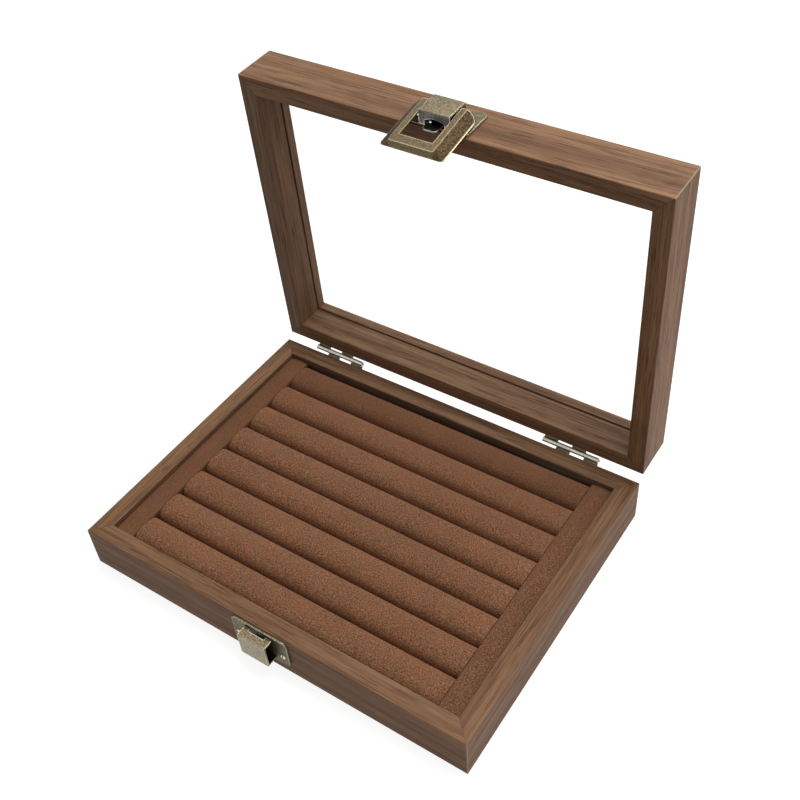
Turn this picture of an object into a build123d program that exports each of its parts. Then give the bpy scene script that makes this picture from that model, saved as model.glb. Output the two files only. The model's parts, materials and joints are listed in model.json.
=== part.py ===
from build123d import *
from math import atan2, cos, degrees, hypot, radians, sqrt, tan
import os

# Glass-lidded ring display box, in millimetres.
# The origin is the centre of the underside, X runs along the length, -Y is the
# latch side and +Z is up. The lid stands open on its hinges.

# --- box ---------------------------------------------------------------------
BOX_LENGTH = 200.0          # outside, along X
BOX_DEPTH = 150.0           # outside, along Y
BASE_HEIGHT = 23.0
LID_HEIGHT = 23.0
BASE_WALL = 8.5             # thickness of the four base walls
LID_WALL = 8.3              # thickness of the four lid walls
RIM_GAP = 0.2               # between the base rim and the closed lid
LID_OPEN_ANGLE = 88.0       # how far the lid stands open on its stop
EDGE_ROUND = 0.4            # eased long edges of the veneered walls
LID_TOP_ROUND = 1.2         # outer top edge of the lid
SIGHT_BEVEL = 2.2           # bevel round the window, on the lid's top

# --- bottom panel and tray board ---------------------------------------------
PANEL_THICKNESS = 3.0
PANEL_REBATE = 4.0          # how far the panel runs under the walls
FIT_GAP = 0.1               # slack round fitted boards and panels
TRAY_BOARD_THICKNESS = 1.5

# --- glass -------------------------------------------------------------------
GLASS_THICKNESS = 2.0
GLASS_KERF_SLACK = 0.2      # above and below the pane
GLASS_KERF_DEPTH = 4.0      # into each lid wall
GLASS_LIP = 6.5             # wood above the kerf

# --- suede end bars and ring rolls -------------------------------------------
END_BAR_WIDTH = 10.0
END_BAR_DROP = 3.0          # shoulder of the bar below the rim
END_BAR_CROWN = 0.9         # rise of its top over the shoulder
SOFT_GAP = 0.2              # between a soft piece and what it lies against
ROLL_COUNT = 8
ROLL_DROP = 1.7             # crest of a roll below the rim
ROLL_CROWN = 7.2            # rise of the rounded top over the shoulder
ROLL_TUCK = 1.1             # how far each flank draws in at the foot
ROLL_END_DROP = 0.8         # how much the ends are rounded down
ROLL_END_LENGTH = 1.6       # over this length

# --- hinges ------------------------------------------------------------------
HINGE_LENGTH = 28.6
HINGE_LEFT_INSET = 17.2     # left hinge from the left end of the box
HINGE_RIGHT_INSET = 21.6    # right hinge from the right end of the box
KNUCKLE_COUNT = 4
KNUCKLE_GAP = 0.15
PIN_STANDOFF = 2.8          # hinge axis behind the rear faces
HINGE_PIN_RADIUS = 0.5
HINGE_PIN_OVERHANG = 0.6
LEAF_THICKNESS = 0.7
LEAF_HEIGHT = 11.0          # of the flat plate
LEAF_START = 2.8            # from the hinge axis to the plate's near edge
RUNNING_CLEARANCE = 0.05    # round every pin
LEAF_CORNER = 1.5           # cut off the plate's far corners

# --- screws ------------------------------------------------------------------
SCREW_HEAD_RADIUS = 1.5
SCREW_TOP_RADIUS = 1.0
SCREW_HEAD_HEIGHT = 0.6
SCREW_SHANK_RADIUS = 0.7
SCREW_LENGTH = 5.0          # below the head
SCREW_HOLE_CLEARANCE = 0.1
PILOT_SLACK = 0.3           # left below a screw's tip
LEAF_SCREW_INSET = 6.0      # from each end of a hinge

# --- latch, measured from the closed rim -------------------------------------
SHEET = 0.8                 # thickness of the pressed latch parts
PLATE_DEPTH = 1.0           # how far the two latch plates stand proud
PLATE_CORNER = 2.2
PLATE_CHAMFER = 0.3
KEEPER_PLATE_WIDTH = 29.4
KEEPER_PLATE_HEIGHT = 16.0
KEEPER_PLATE_DROP = 1.1     # top of the keeper plate below the rim
KEEPER_SCREW_SPACING = 23.4
KEEPER_SCREW_DROP = 11.0
HOUSING_WIDTH = 14.4
HOUSING_DROP = 2.9          # top of the keeper housing below the rim
HOUSING_HEIGHT = 12.8
HOUSING_REACH = 6.2         # front of the housing from the wall
SLOT_WIDTH = 8.4
SLOT_DEPTH = 1.3
SLOT_SETBACK = 0.1          # rear of the slot in front of the plate
LATCH_PLATE_WIDTH = 29.0
LATCH_PLATE_HEIGHT = 17.0
LATCH_PLATE_RISE = 0.8      # bottom of the lid's plate above the lid's edge
LATCH_SCREW_SPACING = 23.4
LATCH_SCREW_RISE = 4.8
CAP_WIDTH = 14.5
CAP_HEIGHT = 12.3
CAP_RISE = 0.4              # bottom of the cap above the lid's edge
CAP_REACH = 7.4             # front of the cap from the wall
CAP_CORNER = 0.6
CAP_MOUTH_WIDTH = 9.2
CAP_MOUTH_DEPTH = 2.0       # from the plate, at the mouth's sides
CAP_MOUTH_RISE = 1.3        # further, at its middle
TONGUE_WIDTH = 7.0
TONGUE_SHEET = 0.6
TONGUE_STEP = 0.6           # joggle that lines the tongue up with its slot
TONGUE_ENTRY = 1.0          # how far the tip drops into the housing
TONGUE_CORNER = 2.0
TONGUE_ROOT_RISE = 6.0      # top of the tongue above the lid's edge
RIVET_RADIUS = 0.9
RIVET_TOP_RADIUS = 0.5
RIVET_HEIGHT = 0.8
RIVET_OFFSET = 2.4          # left of the tongue's middle
RIVET_RISE = 1.4            # above the lid's edge
PIVOT_RISE = 9.8            # frame pivot above the lid's edge
PIVOT_REACH = 3.7           # frame pivot from the wall
PIVOT_PIN_RADIUS = 0.8
PIVOT_HEAD_RADIUS = 1.2
PIVOT_HEAD_LENGTH = 0.5
FRAME_FACE_WIDTH = 20.3     # flat face of the hasp frame
FRAME_FLANK_RUN = 4.5       # bevelled flank outside the face
FRAME_FOOT_RUN = 0.7        # slope of the lower flank
FRAME_DEPTH = 3.4           # face to the flank's edge
FRAME_FACE_OFFSET = 3.4     # face in front of the pivot
FRAME_DROP = 26.6           # lower edge of the face below the pivot
FRAME_BAR = 4.3             # height of the lower bar
FRAME_TOP_DROP = 0.5        # top of the arms below the pivot
FRAME_SIDE_GAP = 0.35       # between the arms and the cap
FRAME_TILT = 8.5            # lean of the hanging frame towards the plate
FRAME_CORNER = 1.8          # lower corners at the flank's edge
FRAME_FACE_CORNER = 0.9     # and on the face
FRAME_LEAST_CORNER = 0.6    # inside the sheet
FRAME_END_CORNER = 4.0      # rounded upper ends of the arms
EAR_RADIUS = 2.4
EAR_LENGTH = 8.0
EAR_FOOT_GAP = 0.15         # between an ear's foot and the plate

# --- places worked out from the sizes above ----------------------------------
FRONT_Y = -BOX_DEPTH / 2
REAR_Y = BOX_DEPTH / 2
LEFT_X = -BOX_LENGTH / 2
RIGHT_X = BOX_LENGTH / 2
LID_BOTTOM = BASE_HEIGHT + RIM_GAP
HINGE_Y = REAR_Y + PIN_STANDOFF
HINGE_Z = BASE_HEIGHT + RIM_GAP / 2
HINGE_AXIS = Axis((0, HINGE_Y, HINGE_Z), (1, 0, 0))
TRAY_TOP = PANEL_THICKNESS + TRAY_BOARD_THICKNESS
INSIDE_LENGTH = BOX_LENGTH - 2 * BASE_WALL
INSIDE_DEPTH = BOX_DEPTH - 2 * BASE_WALL
PIVOT_Y = FRONT_Y - PIVOT_REACH
PIVOT_Z = LID_BOTTOM + PIVOT_RISE
PIVOT_AXIS = Axis((0, PIVOT_Y, PIVOT_Z), (1, 0, 0))
PLATE_FACE_Y = FRONT_Y - PLATE_DEPTH
HOUSING_TOP = BASE_HEIGHT - HOUSING_DROP
SCREW_HOLE_RADIUS = SCREW_SHANK_RADIUS + SCREW_HOLE_CLEARANCE
SLOT_REAR_Y = PLATE_FACE_Y - SLOT_SETBACK


def opened(closed_piece):
    """Swing a piece modelled on the closed lid to where the open lid stands."""
    return closed_piece.rotate(HINGE_AXIS, -LID_OPEN_ANGLE)


# --- mitred walls ------------------------------------------------------------
def mitred_wall(section, length, wall):
    """A wall along X with its outer face on y = 0 and both ends cut at 45 degrees."""
    blank = extrude(Plane.YZ * section, amount=length / 2, both=True)
    outline = Polygon((-length / 2, 0), (length / 2, 0), (length / 2 - wall, wall),
                      (-length / 2 + wall, wall), align=None)
    return blank & extrude(outline, amount=BASE_HEIGHT + LID_HEIGHT)


def four_walls(section, wall, prefix, bottom):
    """The front, rear, left and right walls of one mitred frame, by name."""
    long_wall = mitred_wall(section, BOX_LENGTH, wall)
    short_wall = mitred_wall(section, BOX_DEPTH, wall)
    return {
        prefix + "_front_wall": Pos(0, FRONT_Y, bottom) * long_wall,
        prefix + "_rear_wall": Pos(0, REAR_Y, bottom) * Rot(0, 0, 180) * long_wall,
        prefix + "_left_wall": Pos(LEFT_X, 0, bottom) * Rot(0, 0, -90) * short_wall,
        prefix + "_right_wall": Pos(RIGHT_X, 0, bottom) * Rot(0, 0, 90) * short_wall,
    }


def eased(section, point, radius):
    """Round the corner of a section that lies at the given point."""
    corner = section.vertices().sort_by_distance(Vector(*point))[0]
    return fillet(corner, radius)


def base_walls():
    """Base walls, with a rebate under them for the bottom panel."""
    section = Polygon((0, 0), (BASE_WALL - PANEL_REBATE, 0),
                      (BASE_WALL - PANEL_REBATE, PANEL_THICKNESS), (BASE_WALL, PANEL_THICKNESS),
                      (BASE_WALL, BASE_HEIGHT), (0, BASE_HEIGHT), align=None)
    for point in ((0, 0), (0, BASE_HEIGHT), (BASE_WALL, BASE_HEIGHT)):
        section = eased(section, point, EDGE_ROUND)
    return four_walls(section, BASE_WALL, "base", 0)


def glass_kerf():
    """Height of the kerf's lower and upper face above the lid's lower edge."""
    upper = LID_HEIGHT - GLASS_LIP
    return upper - GLASS_THICKNESS - 2 * GLASS_KERF_SLACK, upper


def lid_walls():
    """Lid walls, with the kerf for the glass and the bevel round the window."""
    lower, upper = glass_kerf()
    groove = LID_WALL - GLASS_KERF_DEPTH
    section = Polygon((0, 0), (LID_WALL, 0), (LID_WALL, lower), (groove, lower),
                      (groove, upper), (LID_WALL, upper), (LID_WALL, LID_HEIGHT - SIGHT_BEVEL),
                      (LID_WALL - SIGHT_BEVEL, LID_HEIGHT), (0, LID_HEIGHT), align=None)
    for point in ((0, 0), (LID_WALL, 0)):
        section = eased(section, point, EDGE_ROUND)
    section = eased(section, (0, LID_HEIGHT), LID_TOP_ROUND)
    return four_walls(section, LID_WALL, "lid", LID_BOTTOM)


def lid_glass():
    """The pane, held all round in the kerf."""
    lower, _ = glass_kerf()
    inset = 2 * (LID_WALL - GLASS_KERF_DEPTH + FIT_GAP)
    bottom = LID_BOTTOM + lower + GLASS_KERF_SLACK / 2
    pane = Box(BOX_LENGTH - inset, BOX_DEPTH - inset, GLASS_THICKNESS)
    return Pos(0, 0, bottom + GLASS_THICKNESS / 2) * pane


def bottom_panel():
    """The bottom board, flush with the walls' lower edges."""
    inset = 2 * (BASE_WALL - PANEL_REBATE + FIT_GAP)
    board = Box(BOX_LENGTH - inset, BOX_DEPTH - inset, PANEL_THICKNESS)
    return Pos(0, 0, PANEL_THICKNESS / 2) * board


def tray_board():
    """The card that carries the rolls and bars as one insert."""
    board = Box(INSIDE_LENGTH - 2 * FIT_GAP, INSIDE_DEPTH - 2 * FIT_GAP, TRAY_BOARD_THICKNESS)
    return Pos(0, 0, PANEL_THICKNESS + TRAY_BOARD_THICKNESS / 2) * board


# --- soft insert -------------------------------------------------------------
def end_bar(side):
    """A suede-covered bar along one end; side is -1 for the left and 1 for the right."""
    outer = INSIDE_LENGTH / 2 - SOFT_GAP
    inner = outer - END_BAR_WIDTH
    shoulder = BASE_HEIGHT - END_BAR_DROP
    top = Line((inner, shoulder), (inner, TRAY_TOP)) + Line((inner, TRAY_TOP), (outer, TRAY_TOP))
    top += Line((outer, TRAY_TOP), (outer, shoulder))
    top += ThreePointArc((outer, shoulder), ((inner + outer) / 2, shoulder + END_BAR_CROWN),
                         (inner, shoulder))
    bar = extrude(Plane.XZ * make_face(top), amount=INSIDE_DEPTH / 2 - SOFT_GAP, both=True)
    return bar if side > 0 else mirror(bar, about=Plane.YZ)


def roll_section(x, width, crest):
    """Cross-section of a roll at x: flat foot, drawn-in flanks and a rounded top."""
    half = width / 2
    shoulder = BASE_HEIGHT - ROLL_DROP - ROLL_CROWN
    foot = half - ROLL_TUCK
    outline = Line((-half, shoulder), (-foot, TRAY_TOP)) + Line((-foot, TRAY_TOP), (foot, TRAY_TOP))
    outline += Line((foot, TRAY_TOP), (half, shoulder))
    outline += ThreePointArc((half, shoulder), (0, crest), (-half, shoulder))
    return Plane.YZ.offset(x) * make_face(outline)


def ring_rolls():
    """The row of suede-covered foam rolls, numbered from the rear."""
    pitch = INSIDE_DEPTH / ROLL_COUNT
    width = pitch - SOFT_GAP
    crest = BASE_HEIGHT - ROLL_DROP
    end = INSIDE_LENGTH / 2 - END_BAR_WIDTH - 2 * SOFT_GAP
    neck = end - ROLL_END_LENGTH
    small = (width - ROLL_END_DROP, crest - ROLL_END_DROP)
    sections = [roll_section(-end, *small), roll_section(-neck, width, crest),
                roll_section(neck, width, crest), roll_section(end, *small)]
    roll = loft(sections, ruled=True)
    rolls = {}
    for number in range(ROLL_COUNT):
        centre = INSIDE_DEPTH / 2 - pitch * (number + 0.5)
        rolls[f"ring_roll_{number + 1}"] = Pos(0, centre, 0) * roll
    return rolls


# --- screws ------------------------------------------------------------------
def screw():
    """A low pan-head screw with its head's seat on z = 0 and its shank pointing down."""
    head = Cone(SCREW_HEAD_RADIUS, SCREW_TOP_RADIUS, SCREW_HEAD_HEIGHT)
    head = Pos(0, 0, SCREW_HEAD_HEIGHT / 2) * head
    shank = Pos(0, 0, -SCREW_LENGTH / 2) * Cylinder(SCREW_SHANK_RADIUS, SCREW_LENGTH)
    return head + shank


def screw_holes(places, radius, into):
    """Cutters for blind holes round screws that point along Y towards into."""
    length = 2 * (SCREW_LENGTH + PILOT_SLACK)
    cutters = []
    for x, y, z in places:
        cutters.append(Pos(x, y, z) * Rot(90 * into, 0, 0) * Cylinder(radius, length))
    return cutters


def drilled(piece, cutters):
    """A piece with its screws' holes in it."""
    for cutter in cutters:
        piece -= cutter
    return piece


def placed_screws(places, into):
    """Screws with their heads at the given places, pointing along Y towards into."""
    return Compound(children=[Pos(x, y, z) * Rot(90 * into, 0, 0) * screw() for x, y, z in places])


# --- hinges ------------------------------------------------------------------
def hinge_starts():
    """Left end of each hinge."""
    return {"left": LEFT_X + HINGE_LEFT_INSET, "right": RIGHT_X - HINGE_RIGHT_INSET - HINGE_LENGTH}


def leaf_section():
    """Bent strip of a base leaf: from the plate's edge out to its rolled knuckle."""
    inner = HINGE_PIN_RADIUS + RUNNING_CLEARANCE
    outer = inner + LEAF_THICKNESS
    middle = (inner + outer) / 2
    start = Vector(REAR_Y + LEAF_THICKNESS / 2, HINGE_Z - LEAF_START - LEAF_THICKNESS / 2)
    centre = Vector(HINGE_Y, HINGE_Z)
    reach = centre - start
    lean = atan2(middle, sqrt(reach.length ** 2 - middle ** 2))
    heading = atan2(reach.Y, reach.X) - lean
    run = sqrt(reach.length ** 2 - middle ** 2)
    strap = Rectangle(run, LEAF_THICKNESS, align=(Align.MIN, Align.CENTER))
    strap = Pos(start.X, start.Y) * Rot(0, 0, degrees(heading)) * strap
    ring = Pos(centre.X, centre.Y) * (Circle(outer) - Circle(inner))
    return strap + ring - Pos(centre.X, centre.Y) * Circle(inner)


def leaf_screw_places(start):
    """Head seats of a base leaf's two screws."""
    z = HINGE_Z - LEAF_START - LEAF_HEIGHT / 2
    face = REAR_Y + LEAF_THICKNESS
    return [(start + LEAF_SCREW_INSET, face, z), (start + HINGE_LENGTH - LEAF_SCREW_INSET, face, z)]


def base_leaf(start, first):
    """A leaf on the base's rear face, with every second knuckle from the first one."""
    pitch = HINGE_LENGTH / KNUCKLE_COUNT
    plate = Box(HINGE_LENGTH, LEAF_THICKNESS, LEAF_HEIGHT, align=(Align.MIN, Align.MIN, Align.MAX))
    plate = Pos(start, REAR_Y, HINGE_Z - LEAF_START) * plate
    lower = plate.edges().filter_by(Axis.Y).group_by(Axis.Z)[0]
    leaf = chamfer(lower, LEAF_CORNER)
    strip = Plane.YZ * leaf_section()
    for number in range(first, KNUCKLE_COUNT, 2):
        length = pitch - KNUCKLE_GAP
        leaf += Pos(start + number * pitch + KNUCKLE_GAP / 2, 0, 0) * extrude(strip, amount=length)
    return drilled(leaf, screw_holes(leaf_screw_places(start), SCREW_HOLE_RADIUS, 1))


def over_the_axis(piece):
    """Mirror a base hinge piece to its mate on the closed lid."""
    return mirror(piece, about=Plane((0, 0, HINGE_Z), z_dir=(0, 0, 1)))


def hinge_pin(start):
    """A plain pin through one hinge's knuckles."""
    length = HINGE_LENGTH + HINGE_PIN_OVERHANG
    pin = Cylinder(HINGE_PIN_RADIUS, length, align=(Align.CENTER, Align.CENTER, Align.MIN))
    return Pos(start, HINGE_Y, HINGE_Z) * Rot(0, 90, 0) * pin


# --- latch -------------------------------------------------------------------
def latch_plate_blank(width, height, bottom):
    """A pressed plate on the front face, with rounded corners."""
    face = Plane.XZ * Pos(0, bottom + height / 2) * RectangleRounded(width, height, PLATE_CORNER)
    plate = Pos(0, FRONT_Y, 0) * extrude(face, amount=PLATE_DEPTH)
    return chamfer(plate.faces().sort_by(Axis.Y)[0].edges(), PLATE_CHAMFER)


def keeper_screw_places():
    z = BASE_HEIGHT - KEEPER_SCREW_DROP
    half = KEEPER_SCREW_SPACING / 2
    return [(-half, PLATE_FACE_Y, z), (half, PLATE_FACE_Y, z)]


def latch_screw_places():
    z = LID_BOTTOM + LATCH_SCREW_RISE
    half = LATCH_SCREW_SPACING / 2
    return [(-half, PLATE_FACE_Y, z), (half, PLATE_FACE_Y, z)]


def keeper_plate():
    """The plate under the keeper, screwed to the base's front wall."""
    bottom = BASE_HEIGHT - KEEPER_PLATE_DROP - KEEPER_PLATE_HEIGHT
    plate = latch_plate_blank(KEEPER_PLATE_WIDTH, KEEPER_PLATE_HEIGHT, bottom)
    return drilled(plate, screw_holes(keeper_screw_places(), SCREW_HOLE_RADIUS, -1))


def keeper_housing():
    """A strip bent into a box with open sides, with a slot for the tongue in its top."""
    depth = HOUSING_REACH - PLATE_DEPTH
    outer = Box(HOUSING_WIDTH, depth, HOUSING_HEIGHT)
    inner = Box(2 * HOUSING_WIDTH, depth, HOUSING_HEIGHT - 2 * SHEET)
    bend = outer.edges().filter_by(Axis.X).group_by(Axis.Y)[0]
    strip = fillet(bend, SHEET / 2) - Pos(0, SHEET, 0) * inner
    strip = Pos(0, PLATE_FACE_Y - depth / 2, HOUSING_TOP - HOUSING_HEIGHT / 2) * strip
    slot = Box(SLOT_WIDTH, SLOT_DEPTH, 4 * SHEET)
    return strip - Pos(0, SLOT_REAR_Y - SLOT_DEPTH / 2, HOUSING_TOP) * slot


def latch_plate():
    """The plate under the hasp, screwed to the lid's front wall."""
    plate = latch_plate_blank(LATCH_PLATE_WIDTH, LATCH_PLATE_HEIGHT, LID_BOTTOM + LATCH_PLATE_RISE)
    return drilled(plate, screw_holes(latch_screw_places(), SCREW_HOLE_RADIUS, -1))


def tongue_profile():
    """Side view of the tongue: on the plate above, stepped out to its slot below."""
    top = LID_BOTTOM + TONGUE_ROOT_RISE
    step = LID_BOTTOM + LATCH_PLATE_RISE + 2 * TONGUE_STEP
    tip = HOUSING_TOP - TONGUE_ENTRY
    back = PLATE_FACE_Y
    front = PLATE_FACE_Y - TONGUE_SHEET
    low_back = back - TONGUE_STEP
    low_front = front - TONGUE_STEP
    return Polygon((back, top), (front, top), (front, step + TONGUE_STEP), (low_front, step),
                   (low_front, tip), (low_back, tip), (low_back, step - TONGUE_STEP / 2),
                   (back, step + TONGUE_STEP / 2), align=None)


def rivet_place():
    return (-RIVET_OFFSET, PLATE_FACE_Y - TONGUE_SHEET - TONGUE_STEP, LID_BOTTOM + RIVET_RISE)


def latch_tongue():
    """The guiding tongue, which drops into the keeper's slot as the lid closes."""
    strip = extrude(Plane.YZ * tongue_profile(), amount=TONGUE_WIDTH / 2, both=True)
    tip = strip.faces().sort_by(Axis.Z)[0].edges().filter_by(Axis.Y)
    return fillet(tip, TONGUE_CORNER)


def tongue_rivet():
    """The raised rivet head that holds the tongue, seen through the cap's mouth."""
    head = Pos(0, 0, RIVET_HEIGHT / 2) * Cone(RIVET_RADIUS, RIVET_TOP_RADIUS, RIVET_HEIGHT)
    return Pos(*rivet_place()) * Rot(90, 0, 0) * head


def latch_cap():
    """The square cap over the pivot, open at its sides but for two ears for the pin."""
    depth = CAP_REACH - PLATE_DEPTH
    bottom = LID_BOTTOM + CAP_RISE
    blank = Box(CAP_WIDTH, depth, CAP_HEIGHT)
    front = blank.faces().sort_by(Axis.Y)[0]
    blank = fillet(front.edges(), CAP_CORNER)
    hollow = Pos(0, SHEET, 0) * Box(CAP_WIDTH - 2 * SHEET, depth, CAP_HEIGHT - 2 * SHEET)
    middle = bottom + CAP_HEIGHT / 2
    cap = Pos(0, PLATE_FACE_Y - depth / 2, middle) * (blank - hollow)
    ear_bottom = PIVOT_Z - EAR_RADIUS
    side_height = ear_bottom - bottom - SHEET
    side = Box(2 * CAP_WIDTH, depth - CAP_CORNER, side_height,
               align=(Align.CENTER, Align.MAX, Align.MIN))
    cap -= Pos(0, PLATE_FACE_Y, bottom + SHEET) * side
    return cap - Pos(0, PLATE_FACE_Y, bottom - SHEET) * cap_mouth() - pivot_bore()


def cap_mouth():
    """The arched opening in the cap's lower wall, over the tongue."""
    half = CAP_MOUTH_WIDTH / 2
    side = -CAP_MOUTH_DEPTH
    outline = Line((half, side), (half, CAP_CORNER)) + Line((half, CAP_CORNER), (-half, CAP_CORNER))
    outline += Line((-half, CAP_CORNER), (-half, side))
    outline += ThreePointArc((-half, side), (0, side - CAP_MOUTH_RISE), (half, side))
    return extrude(make_face(outline), amount=3 * SHEET)


def pivot_bore():
    """The hole that the frame's pin turns in."""
    bore = Rot(0, 90, 0) * Cylinder(PIVOT_PIN_RADIUS + RUNNING_CLEARANCE, 2 * LATCH_PLATE_WIDTH)
    return Pos(0, PIVOT_Y, PIVOT_Z) * bore


def arm_inside():
    """Half the width between the frame's two arms."""
    return CAP_WIDTH / 2 + FRAME_SIDE_GAP


def frame_pin():
    """The pin through the cap and the frame's ears, headed at both ends."""
    half = arm_inside() + SHEET + RUNNING_CLEARANCE
    shaft = Cylinder(PIVOT_PIN_RADIUS, 2 * half)
    for side in (-1, 1):
        head = Cylinder(PIVOT_HEAD_RADIUS, PIVOT_HEAD_LENGTH)
        shaft += Pos(0, 0, side * (half + PIVOT_HEAD_LENGTH / 2)) * head
    return Pos(0, PIVOT_Y, PIVOT_Z) * Rot(0, 90, 0) * shaft


def frame_outline(depth, inset):
    """The pressed frame's outline at a depth behind its face, drawn in by inset."""
    share = depth / FRAME_DEPTH
    flank = hypot(1, FRAME_FLANK_RUN / FRAME_DEPTH) * inset
    foot = hypot(1, FRAME_FOOT_RUN / FRAME_DEPTH) * inset
    half = FRAME_FACE_WIDTH / 2 + FRAME_FLANK_RUN * share - flank
    bottom = PIVOT_Z - FRAME_DROP - FRAME_FOOT_RUN * share + foot
    top = PIVOT_Z + FRAME_DROP
    corner = FRAME_FACE_CORNER + (FRAME_CORNER - FRAME_FACE_CORNER) * share - inset
    y = PIVOT_Y - FRAME_FACE_OFFSET + depth
    sketch = RectangleRounded(2 * half, top - bottom, max(corner, FRAME_LEAST_CORNER))
    return Plane.XZ.offset(-y) * Pos(0, (bottom + top) / 2) * sketch


def frame_ends():
    """The frame's reach in front view, with its two arms' upper ends rounded."""
    width = FRAME_FACE_WIDTH + 2 * FRAME_FLANK_RUN
    top = PIVOT_Z - FRAME_TOP_DROP
    height = 2 * FRAME_DROP
    sketch = Pos(0, top - height / 2) * RectangleRounded(width, height, FRAME_END_CORNER)
    return Pos(0, PIVOT_Y, 0) * extrude(Plane.XZ * sketch, amount=2 * FRAME_DEPTH, both=True)


def frame_shell():
    """The pressed frame with bevelled flanks, as it lies when latched."""
    outer = loft([frame_outline(0, 0), frame_outline(FRAME_DEPTH, 0)], ruled=True)
    inner = loft([frame_outline(SHEET, SHEET), frame_outline(2 * FRAME_DEPTH, SHEET)], ruled=True)
    bar_top = PIVOT_Z - FRAME_DROP + FRAME_BAR
    window = Box(2 * arm_inside(), 4 * FRAME_DEPTH, 3 * FRAME_DROP,
                 align=(Align.CENTER, Align.CENTER, Align.MIN))
    return (outer - inner - Pos(0, PIVOT_Y, bar_top) * window) & frame_ends()


def frame_ear():
    """Side view of an ear: round the pin, with a foot that rests on the plate."""
    lean = tan(radians(FRAME_TILT))
    face = PIVOT_Y - FRAME_FACE_OFFSET / cos(radians(FRAME_TILT)) + SHEET / 2
    foot = PLATE_FACE_Y - EAR_FOOT_GAP
    low = PIVOT_Z - EAR_LENGTH
    top = PIVOT_Z - FRAME_TOP_DROP
    side = Polygon((foot, PIVOT_Z), (foot, PIVOT_Z - EAR_LENGTH / 2),
                   (face + EAR_LENGTH * lean, low), (face + FRAME_TOP_DROP * lean, top), align=None)
    return side + Pos(PIVOT_Y, PIVOT_Z) * Circle(EAR_RADIUS)


def latch_frame():
    """The hasp frame, hanging from its pin against the lid's plate."""
    frame = frame_shell().rotate(PIVOT_AXIS, FRAME_TILT)
    for side in (-1, 1):
        ear = extrude(Plane.YZ * frame_ear(), amount=SHEET / 2, both=True)
        frame += Pos(side * (arm_inside() + SHEET / 2), 0, 0) * ear
    return frame - pivot_bore()


# --- assembly ----------------------------------------------------------------
def all_nodes():
    """Every piece of the box by name, with the lid standing open."""
    base = base_walls()
    lid = lid_walls()
    keeper_screws = keeper_screw_places()
    latch_screws = latch_screw_places()
    base_leaf_screws = []
    for start in hinge_starts().values():
        base_leaf_screws += leaf_screw_places(start)
    lid_leaf_screws = [(x, y, 2 * HINGE_Z - z) for x, y, z in base_leaf_screws]
    shank = SCREW_SHANK_RADIUS

    base["base_front_wall"] = drilled(base["base_front_wall"], screw_holes(keeper_screws, shank, -1))
    base["base_rear_wall"] = drilled(base["base_rear_wall"], screw_holes(base_leaf_screws, shank, 1))
    lid["lid_front_wall"] = drilled(lid["lid_front_wall"], screw_holes(latch_screws, shank, -1))
    lid["lid_rear_wall"] = drilled(lid["lid_rear_wall"], screw_holes(lid_leaf_screws, shank, 1))

    nodes = dict(base)
    nodes["bottom_panel"] = bottom_panel()
    nodes["tray_board"] = tray_board()
    nodes["end_bar_left"] = end_bar(-1)
    nodes["end_bar_right"] = end_bar(1)
    nodes.update(ring_rolls())
    nodes["keeper_plate"] = keeper_plate()
    nodes["keeper_housing"] = keeper_housing()
    nodes["keeper_screws"] = placed_screws(keeper_screws, 1)
    nodes["hinge_screws_base"] = placed_screws(base_leaf_screws, -1)

    closed = dict(lid)
    closed["lid_glass"] = lid_glass()
    closed["latch_plate"] = latch_plate()
    closed["latch_tongue"] = latch_tongue()
    closed["tongue_rivet"] = tongue_rivet()
    closed["latch_cap"] = latch_cap()
    closed["latch_screws"] = placed_screws(latch_screws, 1)
    closed["hinge_screws_lid"] = placed_screws(lid_leaf_screws, -1)
    closed["frame_pin"] = frame_pin()
    closed["latch_frame"] = latch_frame()
    for name, start in hinge_starts().items():
        nodes[f"hinge_{name}_base_leaf"] = base_leaf(start, 1)
        nodes[f"hinge_{name}_pin"] = hinge_pin(start)
        closed[f"hinge_{name}_lid_leaf"] = over_the_axis(base_leaf(start, 0))
    for name, piece in closed.items():
        nodes[name] = opened(piece)
    return nodes


os.makedirs("parts", exist_ok=True)
for node_name, node_shape in all_nodes().items():
    export_step(node_shape, f"parts/{node_name}.step")
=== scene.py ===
import json
from math import atan2, cos, hypot, pi, radians, sin

import bmesh
import bpy
from mathutils import Euler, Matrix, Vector, noise

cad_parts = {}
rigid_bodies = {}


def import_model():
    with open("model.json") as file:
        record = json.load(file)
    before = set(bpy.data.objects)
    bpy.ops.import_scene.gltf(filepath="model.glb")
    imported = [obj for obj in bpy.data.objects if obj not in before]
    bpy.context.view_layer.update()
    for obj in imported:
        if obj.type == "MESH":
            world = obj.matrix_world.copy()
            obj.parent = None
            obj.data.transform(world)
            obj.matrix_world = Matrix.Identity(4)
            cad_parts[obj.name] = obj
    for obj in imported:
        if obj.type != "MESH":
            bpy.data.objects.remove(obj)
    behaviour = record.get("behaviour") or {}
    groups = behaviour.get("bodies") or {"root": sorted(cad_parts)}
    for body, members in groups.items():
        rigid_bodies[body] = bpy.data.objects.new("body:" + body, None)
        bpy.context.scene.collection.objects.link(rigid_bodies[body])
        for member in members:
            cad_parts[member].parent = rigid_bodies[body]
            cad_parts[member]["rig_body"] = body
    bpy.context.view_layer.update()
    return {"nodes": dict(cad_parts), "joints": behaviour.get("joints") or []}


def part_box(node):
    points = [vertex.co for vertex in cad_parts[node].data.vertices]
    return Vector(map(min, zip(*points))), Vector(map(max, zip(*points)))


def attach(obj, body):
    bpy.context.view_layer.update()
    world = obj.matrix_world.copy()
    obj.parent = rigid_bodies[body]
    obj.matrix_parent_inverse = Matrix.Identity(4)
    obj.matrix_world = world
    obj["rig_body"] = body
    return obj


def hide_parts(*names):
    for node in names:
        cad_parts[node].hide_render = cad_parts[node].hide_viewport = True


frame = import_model()

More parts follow.
